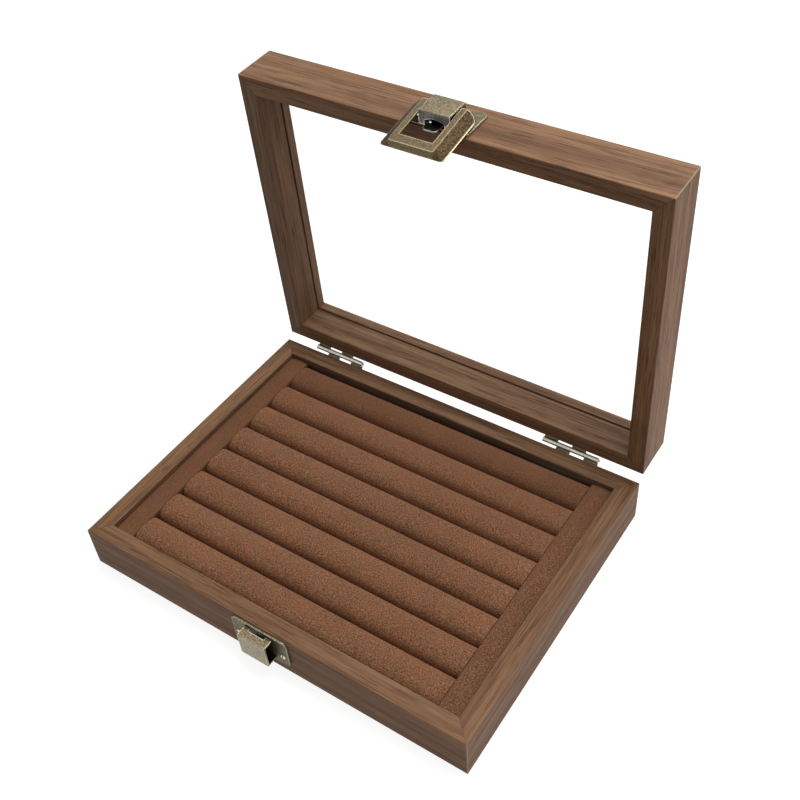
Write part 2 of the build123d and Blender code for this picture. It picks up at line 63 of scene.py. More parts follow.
# --- The viewpoint -----------------------------------------------------------
# The box is seen from above its front left corner, a little nearer to the latch
# than to the hinges, through a lens of about 49 mm on a full frame.
VIEW_PLACE = (0.2101, -0.2418, 0.3993)
VIEW_TURN = (45.143, 4.053, 33.948)
VIEW_LENS = 49.14
VIEW_SHIFT = (0.0121, 0.0118)

view = bpy.data.cameras.new("view")
view.sensor_width = 36
view.lens = VIEW_LENS
view.shift_x, view.shift_y = VIEW_SHIFT
view.clip_start = 0.01
camera = bpy.data.objects.new("view", view)
camera.location = VIEW_PLACE
camera.rotation_euler = [radians(angle) for angle in VIEW_TURN]
bpy.context.scene.collection.objects.link(camera)
bpy.context.scene.camera = camera
bpy.context.scene.view_settings.view_transform = "Standard"

# --- Floor, backdrop and light -----------------------------------------------
# A white sweep of paper with one large soft box over the object and a paler one
# to its right. The paper looks white to the eye and in metal and glass, and it
# still takes the object's shadow.
FLOOR_HALF = 3.0
FLOOR_TONE = 0.42
FLOOR_GLOW = 0.84
SKY_FILL = 0.29


def seen_directly(tree):
    """1 for rays that show the backdrop itself, in the picture, in metal or in glass."""
    path = tree.nodes.new("ShaderNodeLightPath")
    either = tree.nodes.new("ShaderNodeMath")
    either.operation = "MAXIMUM"
    tree.links.new(path.outputs["Is Camera Ray"], either.inputs[0])
    tree.links.new(path.outputs["Is Glossy Ray"], either.inputs[1])
    seen = tree.nodes.new("ShaderNodeMath")
    seen.operation = "MAXIMUM"
    tree.links.new(either.outputs[0], seen.inputs[0])
    tree.links.new(path.outputs["Is Transmission Ray"], seen.inputs[1])
    return seen.outputs[0]


paper = bpy.data.materials.new("white_paper")
paper.use_nodes = True
tree = paper.node_tree
tree.nodes.clear()
matt = tree.nodes.new("ShaderNodeBsdfDiffuse")
matt.inputs["Color"].default_value = (FLOOR_TONE, FLOOR_TONE, FLOOR_TONE, 1)
glow = tree.nodes.new("ShaderNodeEmission")
share = tree.nodes.new("ShaderNodeMath")
share.operation = "MULTIPLY"
share.inputs[1].default_value = FLOOR_GLOW
tree.links.new(seen_directly(tree), share.inputs[0])
tree.links.new(share.outputs[0], glow.inputs["Strength"])
both = tree.nodes.new("ShaderNodeAddShader")
tree.links.new(matt.outputs[0], both.inputs[0])
tree.links.new(glow.outputs[0], both.inputs[1])
output = tree.nodes.new("ShaderNodeOutputMaterial")
tree.links.new(both.outputs[0], output.inputs["Surface"])

corners = [(-FLOOR_HALF, -FLOOR_HALF, 0), (FLOOR_HALF, -FLOOR_HALF, 0),
           (FLOOR_HALF, FLOOR_HALF, 0), (-FLOOR_HALF, FLOOR_HALF, 0)]
sweep = bpy.data.meshes.new("floor")
sweep.from_pydata(corners, [], [(0, 1, 2, 3)])
sweep.materials.append(paper)
floor = bpy.data.objects.new("floor", sweep)
bpy.context.scene.collection.objects.link(floor)

world = bpy.data.worlds.new("studio")
world.use_nodes = True
bpy.context.scene.world = world
tree = world.node_tree
strength = tree.nodes.new("ShaderNodeMapRange")
strength.inputs["To Min"].default_value = SKY_FILL
strength.inputs["To Max"].default_value = 1.0
tree.links.new(seen_directly(tree), strength.inputs["Value"])
backdrop = tree.nodes["Background"]
backdrop.inputs["Color"].default_value = (1, 1, 1, 1)
tree.links.new(strength.outputs[0], backdrop.inputs["Strength"])


def soft_box(name, place, size, power):
    """A square lamp that faces the middle of the object."""
    lamp = bpy.data.lights.new(name, "AREA")
    lamp.size = size
    lamp.energy = power
    light = bpy.data.objects.new(name, lamp)
    light.location = place
    light.rotation_euler = (Vector((0, 0, 0.05)) - Vector(place)).to_track_quat("-Z", "Y").to_euler()
    bpy.context.scene.collection.objects.link(light)


soft_box("overhead", (0.10, 0.42, 0.95), 0.9, 9.0)
soft_box("right_side", (1.00, -0.10, 0.55), 0.7, 1.6)

# --- Base walls --------------------------------------------------------------
# Four lengths of fibreboard wrapped in walnut veneer, mitred at the corners and
# glued. The grain runs along each wall, the veneer's edges are a little dark at
# the mitres, the edges are rubbed and carry a painted highlight, and the outer
# corners are painted pale as a highlight. Each wall has its own painted light and
# shade, and the base's inner faces carry painted shade.
HALF_LENGTH = 0.100
HALF_DEPTH = 0.075
WALL_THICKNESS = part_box("base_front_wall")[1].y + HALF_DEPTH
WALNUT_DARK = (0.132, 0.063, 0.031, 1)
WALNUT_MID = (0.218, 0.114, 0.058, 1)
WALNUT_PALE = (0.320, 0.177, 0.094, 1)
PORE_SHADE = (0.52, 0.47, 0.44, 1)
JOINT_SHADE = (0.045, 0.026, 0.018, 1)
# the tone of rubbed edges and of the painted highlight on the outer corners
RUBBED_AND_LIT_TONE = (0.42, 0.31, 0.21, 1)
STREAK_SCALE = (7, 260, 260)       # about 140 mm long and 4 mm wide
BAND_SCALE = (2.5, 75, 75)         # broad bands, about 13 mm wide
FIBRE_SCALE = (22, 1300, 1300)     # fibres, about 45 mm long and 0.8 mm wide
PORE_SCALE = (50, 2200, 2200)      # pores, about 20 mm long and 0.5 mm wide
VEIN_SCALE = (4, 150, 150)         # growth lines, about 7 mm apart
VEIN_SHADE = (0.50, 0.42, 0.37, 1)
# painted shade on the base's inner faces, inside the well
WELL_PAINTED_SHADE = (0.74, 0.86, 1.00, 1)
WANDER = 0.0022                    # how far the grain strays sideways


def add_node(tree, kind, **settings):
    """A node with its plain settings, and its inputs given by name with an i_ prefix."""
    made = tree.nodes.new(kind)
    for name, value in settings.items():
        if name.startswith("i_"):
            made.inputs[name[2:].replace("_", " ")].default_value = value
        else:
            setattr(made, name, value)
    return made


def new_group(name, inputs, outputs):
    """An empty shader group with named sockets; returns its tree, entry and exit."""
    group = bpy.data.node_groups.new(name, "ShaderNodeTree")
    for label, kind, value in inputs:
        socket = group.interface.new_socket(label, in_out="INPUT", socket_type=kind)
        if value is not None:
            socket.default_value = value
    for label, kind in outputs:
        group.interface.new_socket(label, in_out="OUTPUT", socket_type=kind)
    return group, group.nodes.new("NodeGroupInput"), group.nodes.new("NodeGroupOutput")


def math_node(tree, operation, first, second=None, third=None):
    """A Math node fed by sockets or plain numbers; returns its output."""
    made = add_node(tree, "ShaderNodeMath", operation=operation)
    for slot, value in enumerate((first, second, third)):
        if value is None:
            continue
        if isinstance(value, (int, float)):
            made.inputs[slot].default_value = value
        else:
            tree.links.new(value, made.inputs[slot])
    return made.outputs[0]


def mixed(tree, factor, first, second, blend="MIX"):
    """A colour mix fed by sockets or plain colours; returns its output."""
    made = add_node(tree, "ShaderNodeMix", data_type="RGBA", blend_type=blend)
    for slot, value in ((0, factor), (6, first), (7, second)):
        if isinstance(value, (int, float, tuple)):
            made.inputs[slot].default_value = value
        else:
            tree.links.new(value, made.inputs[slot])
    return made.outputs[2]


def fading(tree, value, start, end):
    """1 up to start, falling smoothly to 0 at end."""
    made = add_node(tree, "ShaderNodeMapRange", interpolation_type="SMOOTHSTEP")
    made.inputs["From Min"].default_value = start
    made.inputs["From Max"].default_value = end
    made.inputs["To Min"].default_value = 1
    made.inputs["To Max"].default_value = 0
    tree.links.new(value, made.inputs["Value"])
    return made.outputs["Result"]


def stretched_noise(tree, vector, scale, detail, roughness):
    """Noise drawn out by a scale along each axis."""
    mapping = add_node(tree, "ShaderNodeMapping", i_Scale=scale)
    tree.links.new(vector, mapping.inputs["Vector"])
    made = add_node(tree, "ShaderNodeTexNoise", i_Scale=1, i_Detail=detail, i_Roughness=roughness)
    tree.links.new(mapping.outputs[0], made.inputs["Vector"])
    return made.outputs["Fac"]


def walnut_group():
    """Walnut grain along X: its colour, a roughness and the height of its pores."""
    group, entry, leave = new_group(
        "walnut_grain", [("Vector", "NodeSocketVector", None), ("Shift", "NodeSocketFloat", 0)],
        [("Color", "NodeSocketColor"), ("Roughness", "NodeSocketFloat"),
         ("Height", "NodeSocketFloat")])
    moved = add_node(group, "ShaderNodeVectorMath", operation="ADD")
    group.links.new(entry.outputs["Vector"], moved.inputs[0])
    offset = add_node(group, "ShaderNodeCombineXYZ")
    for axis in range(3):
        group.links.new(entry.outputs["Shift"], offset.inputs[axis])
    group.links.new(offset.outputs[0], moved.inputs[1])
    drift = stretched_noise(group, moved.outputs[0], (7, 14, 14), 2, 0.5)
    stray = math_node(group, "MULTIPLY_ADD", drift, 2 * WANDER, -WANDER)
    sideways = add_node(group, "ShaderNodeCombineXYZ")
    group.links.new(stray, sideways.inputs["Y"])
    group.links.new(stray, sideways.inputs["Z"])
    grain = add_node(group, "ShaderNodeVectorMath", operation="ADD")
    group.links.new(moved.outputs[0], grain.inputs[0])
    group.links.new(sideways.outputs[0], grain.inputs[1])

    streak = stretched_noise(group, grain.outputs[0], STREAK_SCALE, 4, 0.55)
    band = stretched_noise(group, grain.outputs[0], BAND_SCALE, 2, 0.5)
    fibre = stretched_noise(group, grain.outputs[0], FIBRE_SCALE, 3, 0.6)
    tone = math_node(group, "MULTIPLY", streak, 0.42)
    tone = math_node(group, "MULTIPLY_ADD", band, 0.24, tone)
    tone = math_node(group, "MULTIPLY_ADD", fibre, 0.34, tone)
    ramp = add_node(group, "ShaderNodeValToRGB")
    ramp.color_ramp.elements[0].position = 0.38
    ramp.color_ramp.elements[0].color = WALNUT_DARK
    ramp.color_ramp.elements[1].position = 0.64
    ramp.color_ramp.elements[1].color = WALNUT_PALE
    ramp.color_ramp.elements.new(0.50).color = WALNUT_MID
    group.links.new(tone, ramp.inputs[0])
    pore = stretched_noise(group, grain.outputs[0], PORE_SCALE, 3, 0.6)
    pores = fading(group, pore, 0.39, 0.45)
    colour = mixed(group, pores, ramp.outputs[0], PORE_SHADE, "MULTIPLY")
    ring = stretched_noise(group, grain.outputs[0], VEIN_SCALE, 3, 0.55)
    off_line = math_node(group, "ABSOLUTE", math_node(group, "SUBTRACT", ring, 0.5))
    vein = math_node(group, "MULTIPLY", fading(group, off_line, 0.004, 0.020), fibre)
    colour = mixed(group, vein, colour, VEIN_SHADE, "MULTIPLY")
    group.links.new(colour, leave.inputs["Color"])
    group.links.new(math_node(group, "MULTIPLY_ADD", pore, -0.20, 0.68), leave.inputs["Roughness"])
    group.links.new(math_node(group, "MULTIPLY_ADD", pores, -1.0, streak), leave.inputs["Height"])
    return group


def mitre_group():
    """Where the mitres of a frame show, how far a point is onto its outer corners, and which faces lie
    inside the well.
    """
    group, entry, leave = new_group(
        "mitre", [("Vector", "NodeSocketVector", None)],
        [("Joint", "NodeSocketFloat"), ("Corner", "NodeSocketFloat"), ("Well", "NodeSocketFloat")])
    apart = add_node(group, "ShaderNodeSeparateXYZ")
    group.links.new(entry.outputs["Vector"], apart.inputs[0])
    in_length = math_node(group, "SUBTRACT", HALF_LENGTH, math_node(group, "ABSOLUTE", apart.outputs[0]))
    in_depth = math_node(group, "SUBTRACT", HALF_DEPTH, math_node(group, "ABSOLUTE", apart.outputs[1]))
    off_mitre = math_node(group, "ABSOLUTE", math_node(group, "SUBTRACT", in_length, in_depth))
    off_corner = math_node(group, "ADD", in_length, in_depth)
    group.links.new(fading(group, off_mitre, 0.00010, 0.00034), leave.inputs["Joint"])
    group.links.new(fading(group, off_corner, 0.00025, 0.00065), leave.inputs["Corner"])
    inward = math_node(group, "MINIMUM", in_length, in_depth)
    well = math_node(group, "GREATER_THAN", inward, WALL_THICKNESS - 0.00005)
    group.links.new(well, leave.inputs["Well"])
    return group


def edge_group():
    """A ragged band along a piece's own sharp edges, of the given width, for rubbed wear and a painted
    highlight.
    """
    group, entry, leave = new_group(
        "worn_lit_edges", [("Vector", "NodeSocketVector", None), ("Scale", "NodeSocketFloat", 1500),
                       ("Width", "NodeSocketFloat", 0.00045), ("Gain", "NodeSocketFloat", 6)],
        [("Mask", "NodeSocketFloat")])
    rounded = add_node(group, "ShaderNodeBevel", samples=6)
    group.links.new(entry.outputs["Width"], rounded.inputs["Radius"])
    flat = add_node(group, "ShaderNodeNewGeometry")
    agree = add_node(group, "ShaderNodeVectorMath", operation="DOT_PRODUCT")
    group.links.new(rounded.outputs[0], agree.inputs[0])
    group.links.new(flat.outputs["True Normal"], agree.inputs[1])
    bend = math_node(group, "MULTIPLY", math_node(group, "SUBTRACT", 1, agree.outputs["Value"]),
                     entry.outputs["Gain"])
    grit = add_node(group, "ShaderNodeTexNoise", i_Detail=3)
    group.links.new(entry.outputs["Vector"], grit.inputs["Vector"])
    group.links.new(entry.outputs["Scale"], grit.inputs["Scale"])
    ragged = math_node(group, "MULTIPLY", bend,
                       math_node(group, "MULTIPLY_ADD", grit.outputs["Fac"], 2.4, -0.45))
    clamp = add_node(group, "ShaderNodeClamp")
    group.links.new(ragged, clamp.inputs[0])
    group.links.new(clamp.outputs[0], leave.inputs["Mask"])
    return group


walnut_grain = walnut_group()
mitre = mitre_group()
worn_lit_edges = edge_group()


def walnut(name, across, side_light, lid_turn=0.0, pivot=(0, 0, 0), shift=0.0):
    """Satin walnut veneer; across is true where the wall runs along Y on the closed box."""
    material = bpy.data.materials.new(name)
    material.use_nodes = True
    tree = material.node_tree
    surface = tree.nodes["Principled BSDF"]
    surface.inputs["Specular IOR Level"].default_value = 0.16
    place = add_node(tree, "ShaderNodeTexCoord")
    turn = Euler((lid_turn, 0, 0))
    home = Vector(pivot) - turn.to_matrix() @ Vector(pivot)
    closed = add_node(tree, "ShaderNodeMapping", i_Rotation=turn, i_Location=home)
    tree.links.new(place.outputs["Object"], closed.inputs["Vector"])
    along = add_node(tree, "ShaderNodeMapping", i_Rotation=(0, 0, radians(90) if across else 0))
    tree.links.new(closed.outputs[0], along.inputs["Vector"])
    grain = add_node(tree, "ShaderNodeGroup", node_tree=walnut_grain, i_Shift=shift)
    tree.links.new(along.outputs[0], grain.inputs["Vector"])
    corner = add_node(tree, "ShaderNodeGroup", node_tree=mitre)
    tree.links.new(closed.outputs[0], corner.inputs["Vector"])
    wear_and_highlight = add_node(tree, "ShaderNodeGroup", node_tree=worn_lit_edges, i_Scale=600)
    tree.links.new(place.outputs["Object"], wear_and_highlight.inputs["Vector"])
    # the edges, rubbed pale and given a painted highlight
    rubbed_and_lit = math_node(tree, "MULTIPLY", wear_and_highlight.outputs["Mask"], 0.30)
    colour = mixed(tree, rubbed_and_lit, grain.outputs["Color"], RUBBED_AND_LIT_TONE)
    # painted light and shade: the wall's own brightness tint
    colour = mixed(tree, 1.0, colour, (*side_light, 1), "MULTIPLY")
    if lid_turn == 0:
        # painted shade on the inner faces of the base's well
        colour = mixed(tree, corner.outputs["Well"], colour, WELL_PAINTED_SHADE, "MULTIPLY")
    joint = math_node(tree, "MULTIPLY", corner.outputs["Joint"], 0.55)
    colour = mixed(tree, joint, colour, JOINT_SHADE)
    # a painted pale highlight along the outer corners
    pale = math_node(tree, "MULTIPLY", corner.outputs["Corner"], 0.75)
    colour = mixed(tree, pale, colour, RUBBED_AND_LIT_TONE)
    tree.links.new(colour, surface.inputs["Base Color"])
    tree.links.new(grain.outputs["Roughness"], surface.inputs["Roughness"])
    bump = add_node(tree, "ShaderNodeBump", i_Strength=0.25, i_Distance=0.00012)
    tree.links.new(grain.outputs["Height"], bump.inputs["Height"])
    tree.links.new(bump.outputs[0], surface.inputs["Normal"])
    return material


def dress(node, material):
    """Give a CAD piece its finish."""
    frame["nodes"][node].data.materials.clear()
    frame["nodes"][node].data.materials.append(material)


SIDES = ("front", "rear", "left", "right")
# Painted light and shade: each wall of the base gets its own brightness tint.
BASE_PAINTED_LIGHT = ((1.14, 1.14, 1.14), (0.95, 0.97, 1.00), (1.18, 1.18, 1.18), (1.09, 1.08, 1.08))
for number, (side, side_light) in enumerate(zip(SIDES, BASE_PAINTED_LIGHT)):
    across = side in ("left", "right")
    dress(f"base_{side}_wall", walnut(f"walnut_base_{side}", across, side_light, shift=0.37 * number))

# --- Bottom panel and tray board ---------------------------------------------
# The underside is a thin brown fibreboard let into the walls. On it lies the dark
# card that the rolls and bars are glued to, seen only in the gaps at their ends.
BOARD_DARK = (0.090, 0.055, 0.034, 1)
BOARD_PALE = (0.190, 0.125, 0.082, 1)
CARD_DARK = (0.020, 0.014, 0.011, 1)
CARD_PALE = (0.045, 0.030, 0.022, 1)


def pressed_board(name, dark, pale, scale, roughness):
    """Fibres pressed into a board: fine flecks in every direction."""
    material = bpy.data.materials.new(name)
    material.use_nodes = True
    tree = material.node_tree
    surface = tree.nodes["Principled BSDF"]
    place = add_node(tree, "ShaderNodeTexCoord")
    flecks = []
    for stretch in ((1, 0.22, 1), (0.22, 1, 1)):
        whole = tuple(scale * part for part in stretch)
        flecks.append(stretched_noise(tree, place.outputs["Object"], whole, 5, 0.65))
    fleck = math_node(tree, "MULTIPLY", math_node(tree, "ADD", *flecks), 0.5)
    tone = math_node(tree, "SUBTRACT", 1, fading(tree, fleck, 0.38, 0.62))
    tree.links.new(mixed(tree, tone, dark, pale), surface.inputs["Base Color"])
    tree.links.new(math_node(tree, "MULTIPLY_ADD", fleck, 0.2, roughness), surface.inputs["Roughness"])
    bump = add_node(tree, "ShaderNodeBump", i_Strength=0.3, i_Distance=0.0001)
    tree.links.new(fleck, bump.inputs["Height"])
    tree.links.new(bump.outputs[0], surface.inputs["Normal"])
    return material


dress("bottom_panel", pressed_board("brown_fibreboard", BOARD_DARK, BOARD_PALE, 900, 0.6))
dress("tray_board", pressed_board("dark_card", CARD_DARK, CARD_PALE, 1500, 0.8))

# --- Ring rolls --------------------------------------------------------------
# Eight strips of foam, each wrapped in brown suede cloth that is glued round to a
# flat foot. The top swells to a round crest, the flanks draw in below it, and
# rings stand in the grooves between one roll and the next.
SUEDE_MID = (0.212, 0.092, 0.045, 1)
SUEDE_DARK = (0.105, 0.041, 0.018, 1)
SUEDE_PALE = (0.400, 0.205, 0.112, 1)
SUEDE_RED = (1.035, 0.985, 0.965, 1)
SUEDE_OLIVE = (0.970, 1.010, 1.015, 1)
BAR_PAINTED_SHADES = (0.77, 0.79)     # painted shade on the bars, left and right
REAR_PAINTED_SHADE = 0.75             # painted shade on the rearmost roll
PRESSED_SHARE = 0.45          # how much calmer the nap is on the rear rolls
PRESSED_REACH = (0.010, 0.062)
# painted shade in the grooves between the rolls
GROOVE_PAINTED_SHADE = (0.98, 0.96, 0.95, 1)
GROOVE_DEPTH = 0.0030         # painted shade darkens the flanks, over this depth
PAD_SHRINK = 0.00015          # how much smaller the cloth starts than its space
PAD_SPACING = 0.0019          # between the points of the cloth
PAD_PRESSURE = 4.0
PAD_FRAMES = 20
ROLL_CROWN = 0.0064
ROLL_FULLNESS = 2.80          # 2 is an ellipse, more is squarer
ROLL_TUCK = 0.0011
ROLL_END_ROUND = 0.0003
PUCKER = 0.00012              # unevenness of the glued cloth


def suede_group():
    """Brushed suede: a fine speckle over soft patches where the nap lies both ways."""
    group, entry, leave = new_group(
        "suede_nap", [("Vector", "NodeSocketVector", None), ("Shade", "NodeSocketFloat", 1),
                      ("Calm", "NodeSocketFloat", 0)],
        [("Color", "NodeSocketColor"), ("Height", "NodeSocketFloat")])
    fine = add_node(group, "ShaderNodeTexNoise", i_Scale=3600, i_Detail=2, i_Roughness=0.6)
    curl = add_node(group, "ShaderNodeTexNoise", i_Scale=1750, i_Detail=2, i_Roughness=0.5)
    nap = add_node(group, "ShaderNodeTexNoise", i_Scale=60, i_Detail=3, i_Roughness=0.55)
    patch = add_node(group, "ShaderNodeTexNoise", i_Scale=150, i_Detail=3, i_Roughness=0.6)
    for texture in (fine, curl, nap, patch):
        group.links.new(entry.outputs["Vector"], texture.inputs["Vector"])
    grain = math_node(group, "MULTIPLY_ADD", curl.outputs["Fac"], 0.55, 0.0)
    grain = math_node(group, "MULTIPLY_ADD", fine.outputs["Fac"], 0.45, grain)
    ramp = add_node(group, "ShaderNodeValToRGB")
    ramp.color_ramp.elements[0].position = 0.38
    ramp.color_ramp.elements[0].color = SUEDE_DARK
    ramp.color_ramp.elements[1].position = 0.64
    ramp.color_ramp.elements[1].color = SUEDE_PALE
    ramp.color_ramp.elements.new(0.50).color = SUEDE_MID
    group.links.new(grain, ramp.inputs[0])
    apart = add_node(group, "ShaderNodeSeparateXYZ")
    group.links.new(entry.outputs["Vector"], apart.inputs[0])
    pressed = math_node(group, "MULTIPLY", PRESSED_SHARE, math_node(
        group, "SUBTRACT", 1, fading(group, apart.outputs[1], *PRESSED_REACH)))
    pressed = math_node(group, "MAXIMUM", pressed, entry.outputs["Calm"])
    speckle = mixed(group, pressed, ramp.outputs[0], SUEDE_MID)
    lie = math_node(group, "MULTIPLY_ADD", nap.outputs["Fac"], 0.36, 0.86)
    # painted shade over the whole pad, through the Shade input
    lie = math_node(group, "MULTIPLY", lie, entry.outputs["Shade"])
    shade = add_node(group, "ShaderNodeCombineColor")
    for channel in range(3):
        group.links.new(lie, shade.inputs[channel])
    colour = mixed(group, 1.0, speckle, shade.outputs[0], "MULTIPLY")
    hue = math_node(group, "SUBTRACT", 1, fading(group, patch.outputs["Fac"], 0.38, 0.62))
    colour = mixed(group, 1.0, colour, mixed(group, hue, SUEDE_RED, SUEDE_OLIVE), "MULTIPLY")
    group.links.new(colour, leave.inputs["Color"])
    group.links.new(grain, leave.inputs["Height"])
    return group


suede_nap = suede_group()


def suede(name, shade, groove_painted_shade, groove_depth, calm=0.0):
    """The suede cloth, as it lies on one kind of pad, with painted shade down its flanks."""
    material = bpy.data.materials.new(name)
    material.use_nodes = True
    tree = material.node_tree
    surface = tree.nodes["Principled BSDF"]
    surface.inputs["Specular IOR Level"].default_value = 0.2
    surface.inputs["Roughness"].default_value = 0.95
    surface.inputs["Sheen Weight"].default_value = 0.25
    surface.inputs["Sheen Roughness"].default_value = 0.5
    surface.inputs["Sheen Tint"].default_value = (0.85, 0.50, 0.33, 1)
    place = add_node(tree, "ShaderNodeTexCoord")
    nap = add_node(tree, "ShaderNodeGroup", node_tree=suede_nap, i_Shade=shade, i_Calm=calm)
    tree.links.new(place.outputs["Object"], nap.inputs["Vector"])
    apart = add_node(tree, "ShaderNodeSeparateXYZ")
    tree.links.new(place.outputs["Object"], apart.inputs[0])
    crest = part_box("ring_roll_1")[1].z
    # painted shade down the flanks, by height below the crest
    groove = fading(tree, apart.outputs[2], crest - groove_depth, crest - 0.0006)
    colour = mixed(tree, groove, nap.outputs["Color"], groove_painted_shade, "MULTIPLY")
    tree.links.new(colour, surface.inputs["Base Color"])
    bump = add_node(tree, "ShaderNodeBump", i_Strength=0.45, i_Distance=0.0004)
    tree.links.new(nap.outputs["Height"], bump.inputs["Height"])
    tree.links.new(bump.outputs[0], surface.inputs["Normal"])
    return material


def arc_points(centre, radius, start, end, spacing):
    """Points along an arc, from one angle to another, both ends included."""
    steps = max(3, round(radius * abs(end - start) / spacing))
    points = []
    for step in range(steps + 1):
        angle = start + (end - start) * step / steps
        points.append((centre[0] + radius * sin(angle), centre[1] + radius * cos(angle)))
    return points


def roll_outline(half, low, crest):
    """A roll's section: a narrow foot, drawn-in flanks and a full, rounded top."""
    steps = 2 * round(half / PAD_SPACING) + 3
    top = []
    for step in range(steps + 1):
        angle = pi * step / steps
        across, rise = -cos(angle), sin(angle)
        across = half * (abs(across) ** (2 / ROLL_FULLNESS)) * (1 if across > 0 else -1)
        top.append((across, crest - ROLL_CROWN + ROLL_CROWN * rise ** (2 / ROLL_FULLNESS)))
    foot = half - ROLL_TUCK
    return [(-foot, low), *top, (foot, low)]


def evenly(path, spacing):
    """The closed path with its long straight runs divided, and its corners kept."""
    points = []
    for (ax, ay), (bx, by) in zip(path, path[1:] + path[:1]):
        parts = max(1, round(hypot(bx - ax, by - ay) / spacing))
        for part in range(parts):
            points.append((ax + (bx - ax) * part / parts, ay + (by - ay) * part / parts))
    return points


def end_profile(start, end, rounding):
    """How far along each ring of a pad lies, and how far it is drawn in."""
    curve = [(rounding * (1 - cos(step * pi / 6)), rounding * (1 - sin(step * pi / 6)))
             for step in range(4)]
    count = round((end - start - 2 * rounding) / PAD_SPACING)
    middle = [(start + rounding + (end - start - 2 * rounding) * number / count, 0.0)
              for number in range(1, count)]
    return ([(start + reach, inset) for reach, inset in curve] + middle
            + [(end - reach, inset) for reach, inset in reversed(curve)])


def pad_mesh(name, outline, middle, start, end, end_round, along):
    """A closed pad whose section is drawn along X or Y, with its ends eased."""
    low = min(height for _, height in outline)
    centre = sum(height for _, height in outline) / len(outline)
    rings = []
    for reach, inset in end_profile(start, end, end_round):
        ring = []
        for across, height in outline:
            out = hypot(across, height - centre)
            share = 1 - inset / out
            ring.append((reach, across * share, max(low, centre + (height - centre) * share)))
        rings.append(ring)
    for share in (0.66, 0.33):
        first, last = [[(reach, across * share, centre + (height - centre) * share)
                        for reach, across, height in ring] for ring in (rings[0], rings[-1])]
        rings = [first, *rings, last]
    mesh = bmesh.new()
    made = []
    for ring in rings:
        row = []
        for reach, across, height in ring:
            side = middle + across
            row.append(mesh.verts.new((reach, side, height) if along == "X" else (side, reach, height)))
        made.append(row)
    for first, second in zip(made, made[1:]):
        for number in range(len(outline)):
            after = (number + 1) % len(outline)
            mesh.faces.new((first[number], first[after], second[after], second[number]))
    mesh.faces.new(made[0])
    mesh.faces.new(list(reversed(made[-1])))
    bmesh.ops.recalc_face_normals(mesh, faces=mesh.faces)
    for vertex in mesh.verts:
        if vertex.co.z > low + PAD_SPACING:
            vertex.co.z -= PUCKER * (0.5 + 0.5 * noise.noise(vertex.co * 110))
    data = bpy.data.meshes.new(name)
    mesh.to_mesh(data)
    mesh.free()
    for face in data.polygons:
        face.use_smooth = True
    pad = bpy.data.objects.new(name, data)
    bpy.context.scene.collection.objects.link(pad)
    return pad


def start_cloth(pad):
    """Give a pad its cloth, with the foot held by the glue."""
    foot = min(vertex.co.z for vertex in pad.data.vertices)
    glued = pad.vertex_groups.new(name="glued")
    held = [vertex.index for vertex in pad.data.vertices if vertex.co.z < foot + PAD_SPACING / 2]
    glued.add(held, 1.0, "REPLACE")
    cloth = pad.modifiers.new("stuffing", "CLOTH")
    cloth.settings.vertex_group_mass = "glued"
    cloth.settings.use_pressure = True
    cloth.settings.uniform_pressure_force = PAD_PRESSURE
    cloth.settings.effector_weights.gravity = 0
    cloth.settings.quality = 5
    cloth.settings.tension_stiffness = 15
    cloth.settings.compression_stiffness = 15
    cloth.settings.bending_stiffness = 0.5
    cloth.collision_settings.use_collision = False
    cloth.point_cache.frame_start = 1
    cloth.point_cache.frame_end = PAD_FRAMES


def settle_cloth(pads):
    """Let every pad swell, hold each point within its space, and keep the result."""
    scene = bpy.context.scene
    for number in range(1, PAD_FRAMES + 1):
        scene.frame_set(number)
    view_layer = bpy.context.evaluated_depsgraph_get()
    for pad in pads:
        swollen = pad.evaluated_get(view_layer).data
        for vertex, after in zip(pad.data.vertices, swollen.vertices):
            move = after.co - vertex.co
            if move.length > PAD_SHRINK:
                move *= PAD_SHRINK / move.length
            vertex.co += move
        pad.modifiers.clear()
        pad.vertex_groups.clear()
    scene.frame_set(1)


def finish_pad(pad, node, material):
    """One subdivision, the suede, and the pad's place on the base."""
    smooth = pad.modifiers.new("smooth", "SUBSURF")
    smooth.levels = smooth.render_levels = 1
    bpy.context.view_layer.objects.active = pad
    pad.select_set(True)
    bpy.ops.object.modifier_apply(modifier=smooth.name)
    pad.select_set(False)
    pad.data.materials.append(material)
    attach(pad, "base")
    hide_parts(node)


brown_suede = suede("brown_suede", 1.0, GROOVE_PAINTED_SHADE, GROOVE_DEPTH)
# painted shade on the rearmost roll
rear_suede = suede("rear_suede", REAR_PAINTED_SHADE, GROOVE_PAINTED_SHADE, GROOVE_DEPTH)
rolls = []
ROLLS = [name for name in sorted(frame["nodes"]) if name.startswith("ring_roll_")]
for name in ROLLS:
    low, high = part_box(name)
    half = (high.y - low.y) / 2 - PAD_SHRINK
    section = evenly(roll_outline(half, low.z, high.z - PAD_SHRINK), PAD_SPACING)
    middle = (low.y + high.y) / 2
    roll = pad_mesh(name + "_suede", section, middle, low.x, high.x, ROLL_END_ROUND, "X")
    rolls.append(roll)

for roll in rolls:
    start_cloth(roll)
settle_cloth(rolls)
for roll, name in zip(rolls, ROLLS):
    finish_pad(roll, name, rear_suede if name == ROLLS[0] else brown_suede)

# --- End bars ----------------------------------------------------------------
# Two narrower pads in the same suede close the row at the left and right: strips
# of stiff foam with an almost flat top and small corners, pushed in tight between
# the side wall and the rolls.
BAR_CROWN = 0.0003
# painted shade on the bars' flanks, down where the rolls' grooves end
BAR_FLANK_PAINTED_SHADE = (0.34, 0.30, 0.28, 1)
BAR_FLANK_DEPTH = 0.0028      # where the rolls' grooves end against a bar
BAR_CORNER = 0.0004


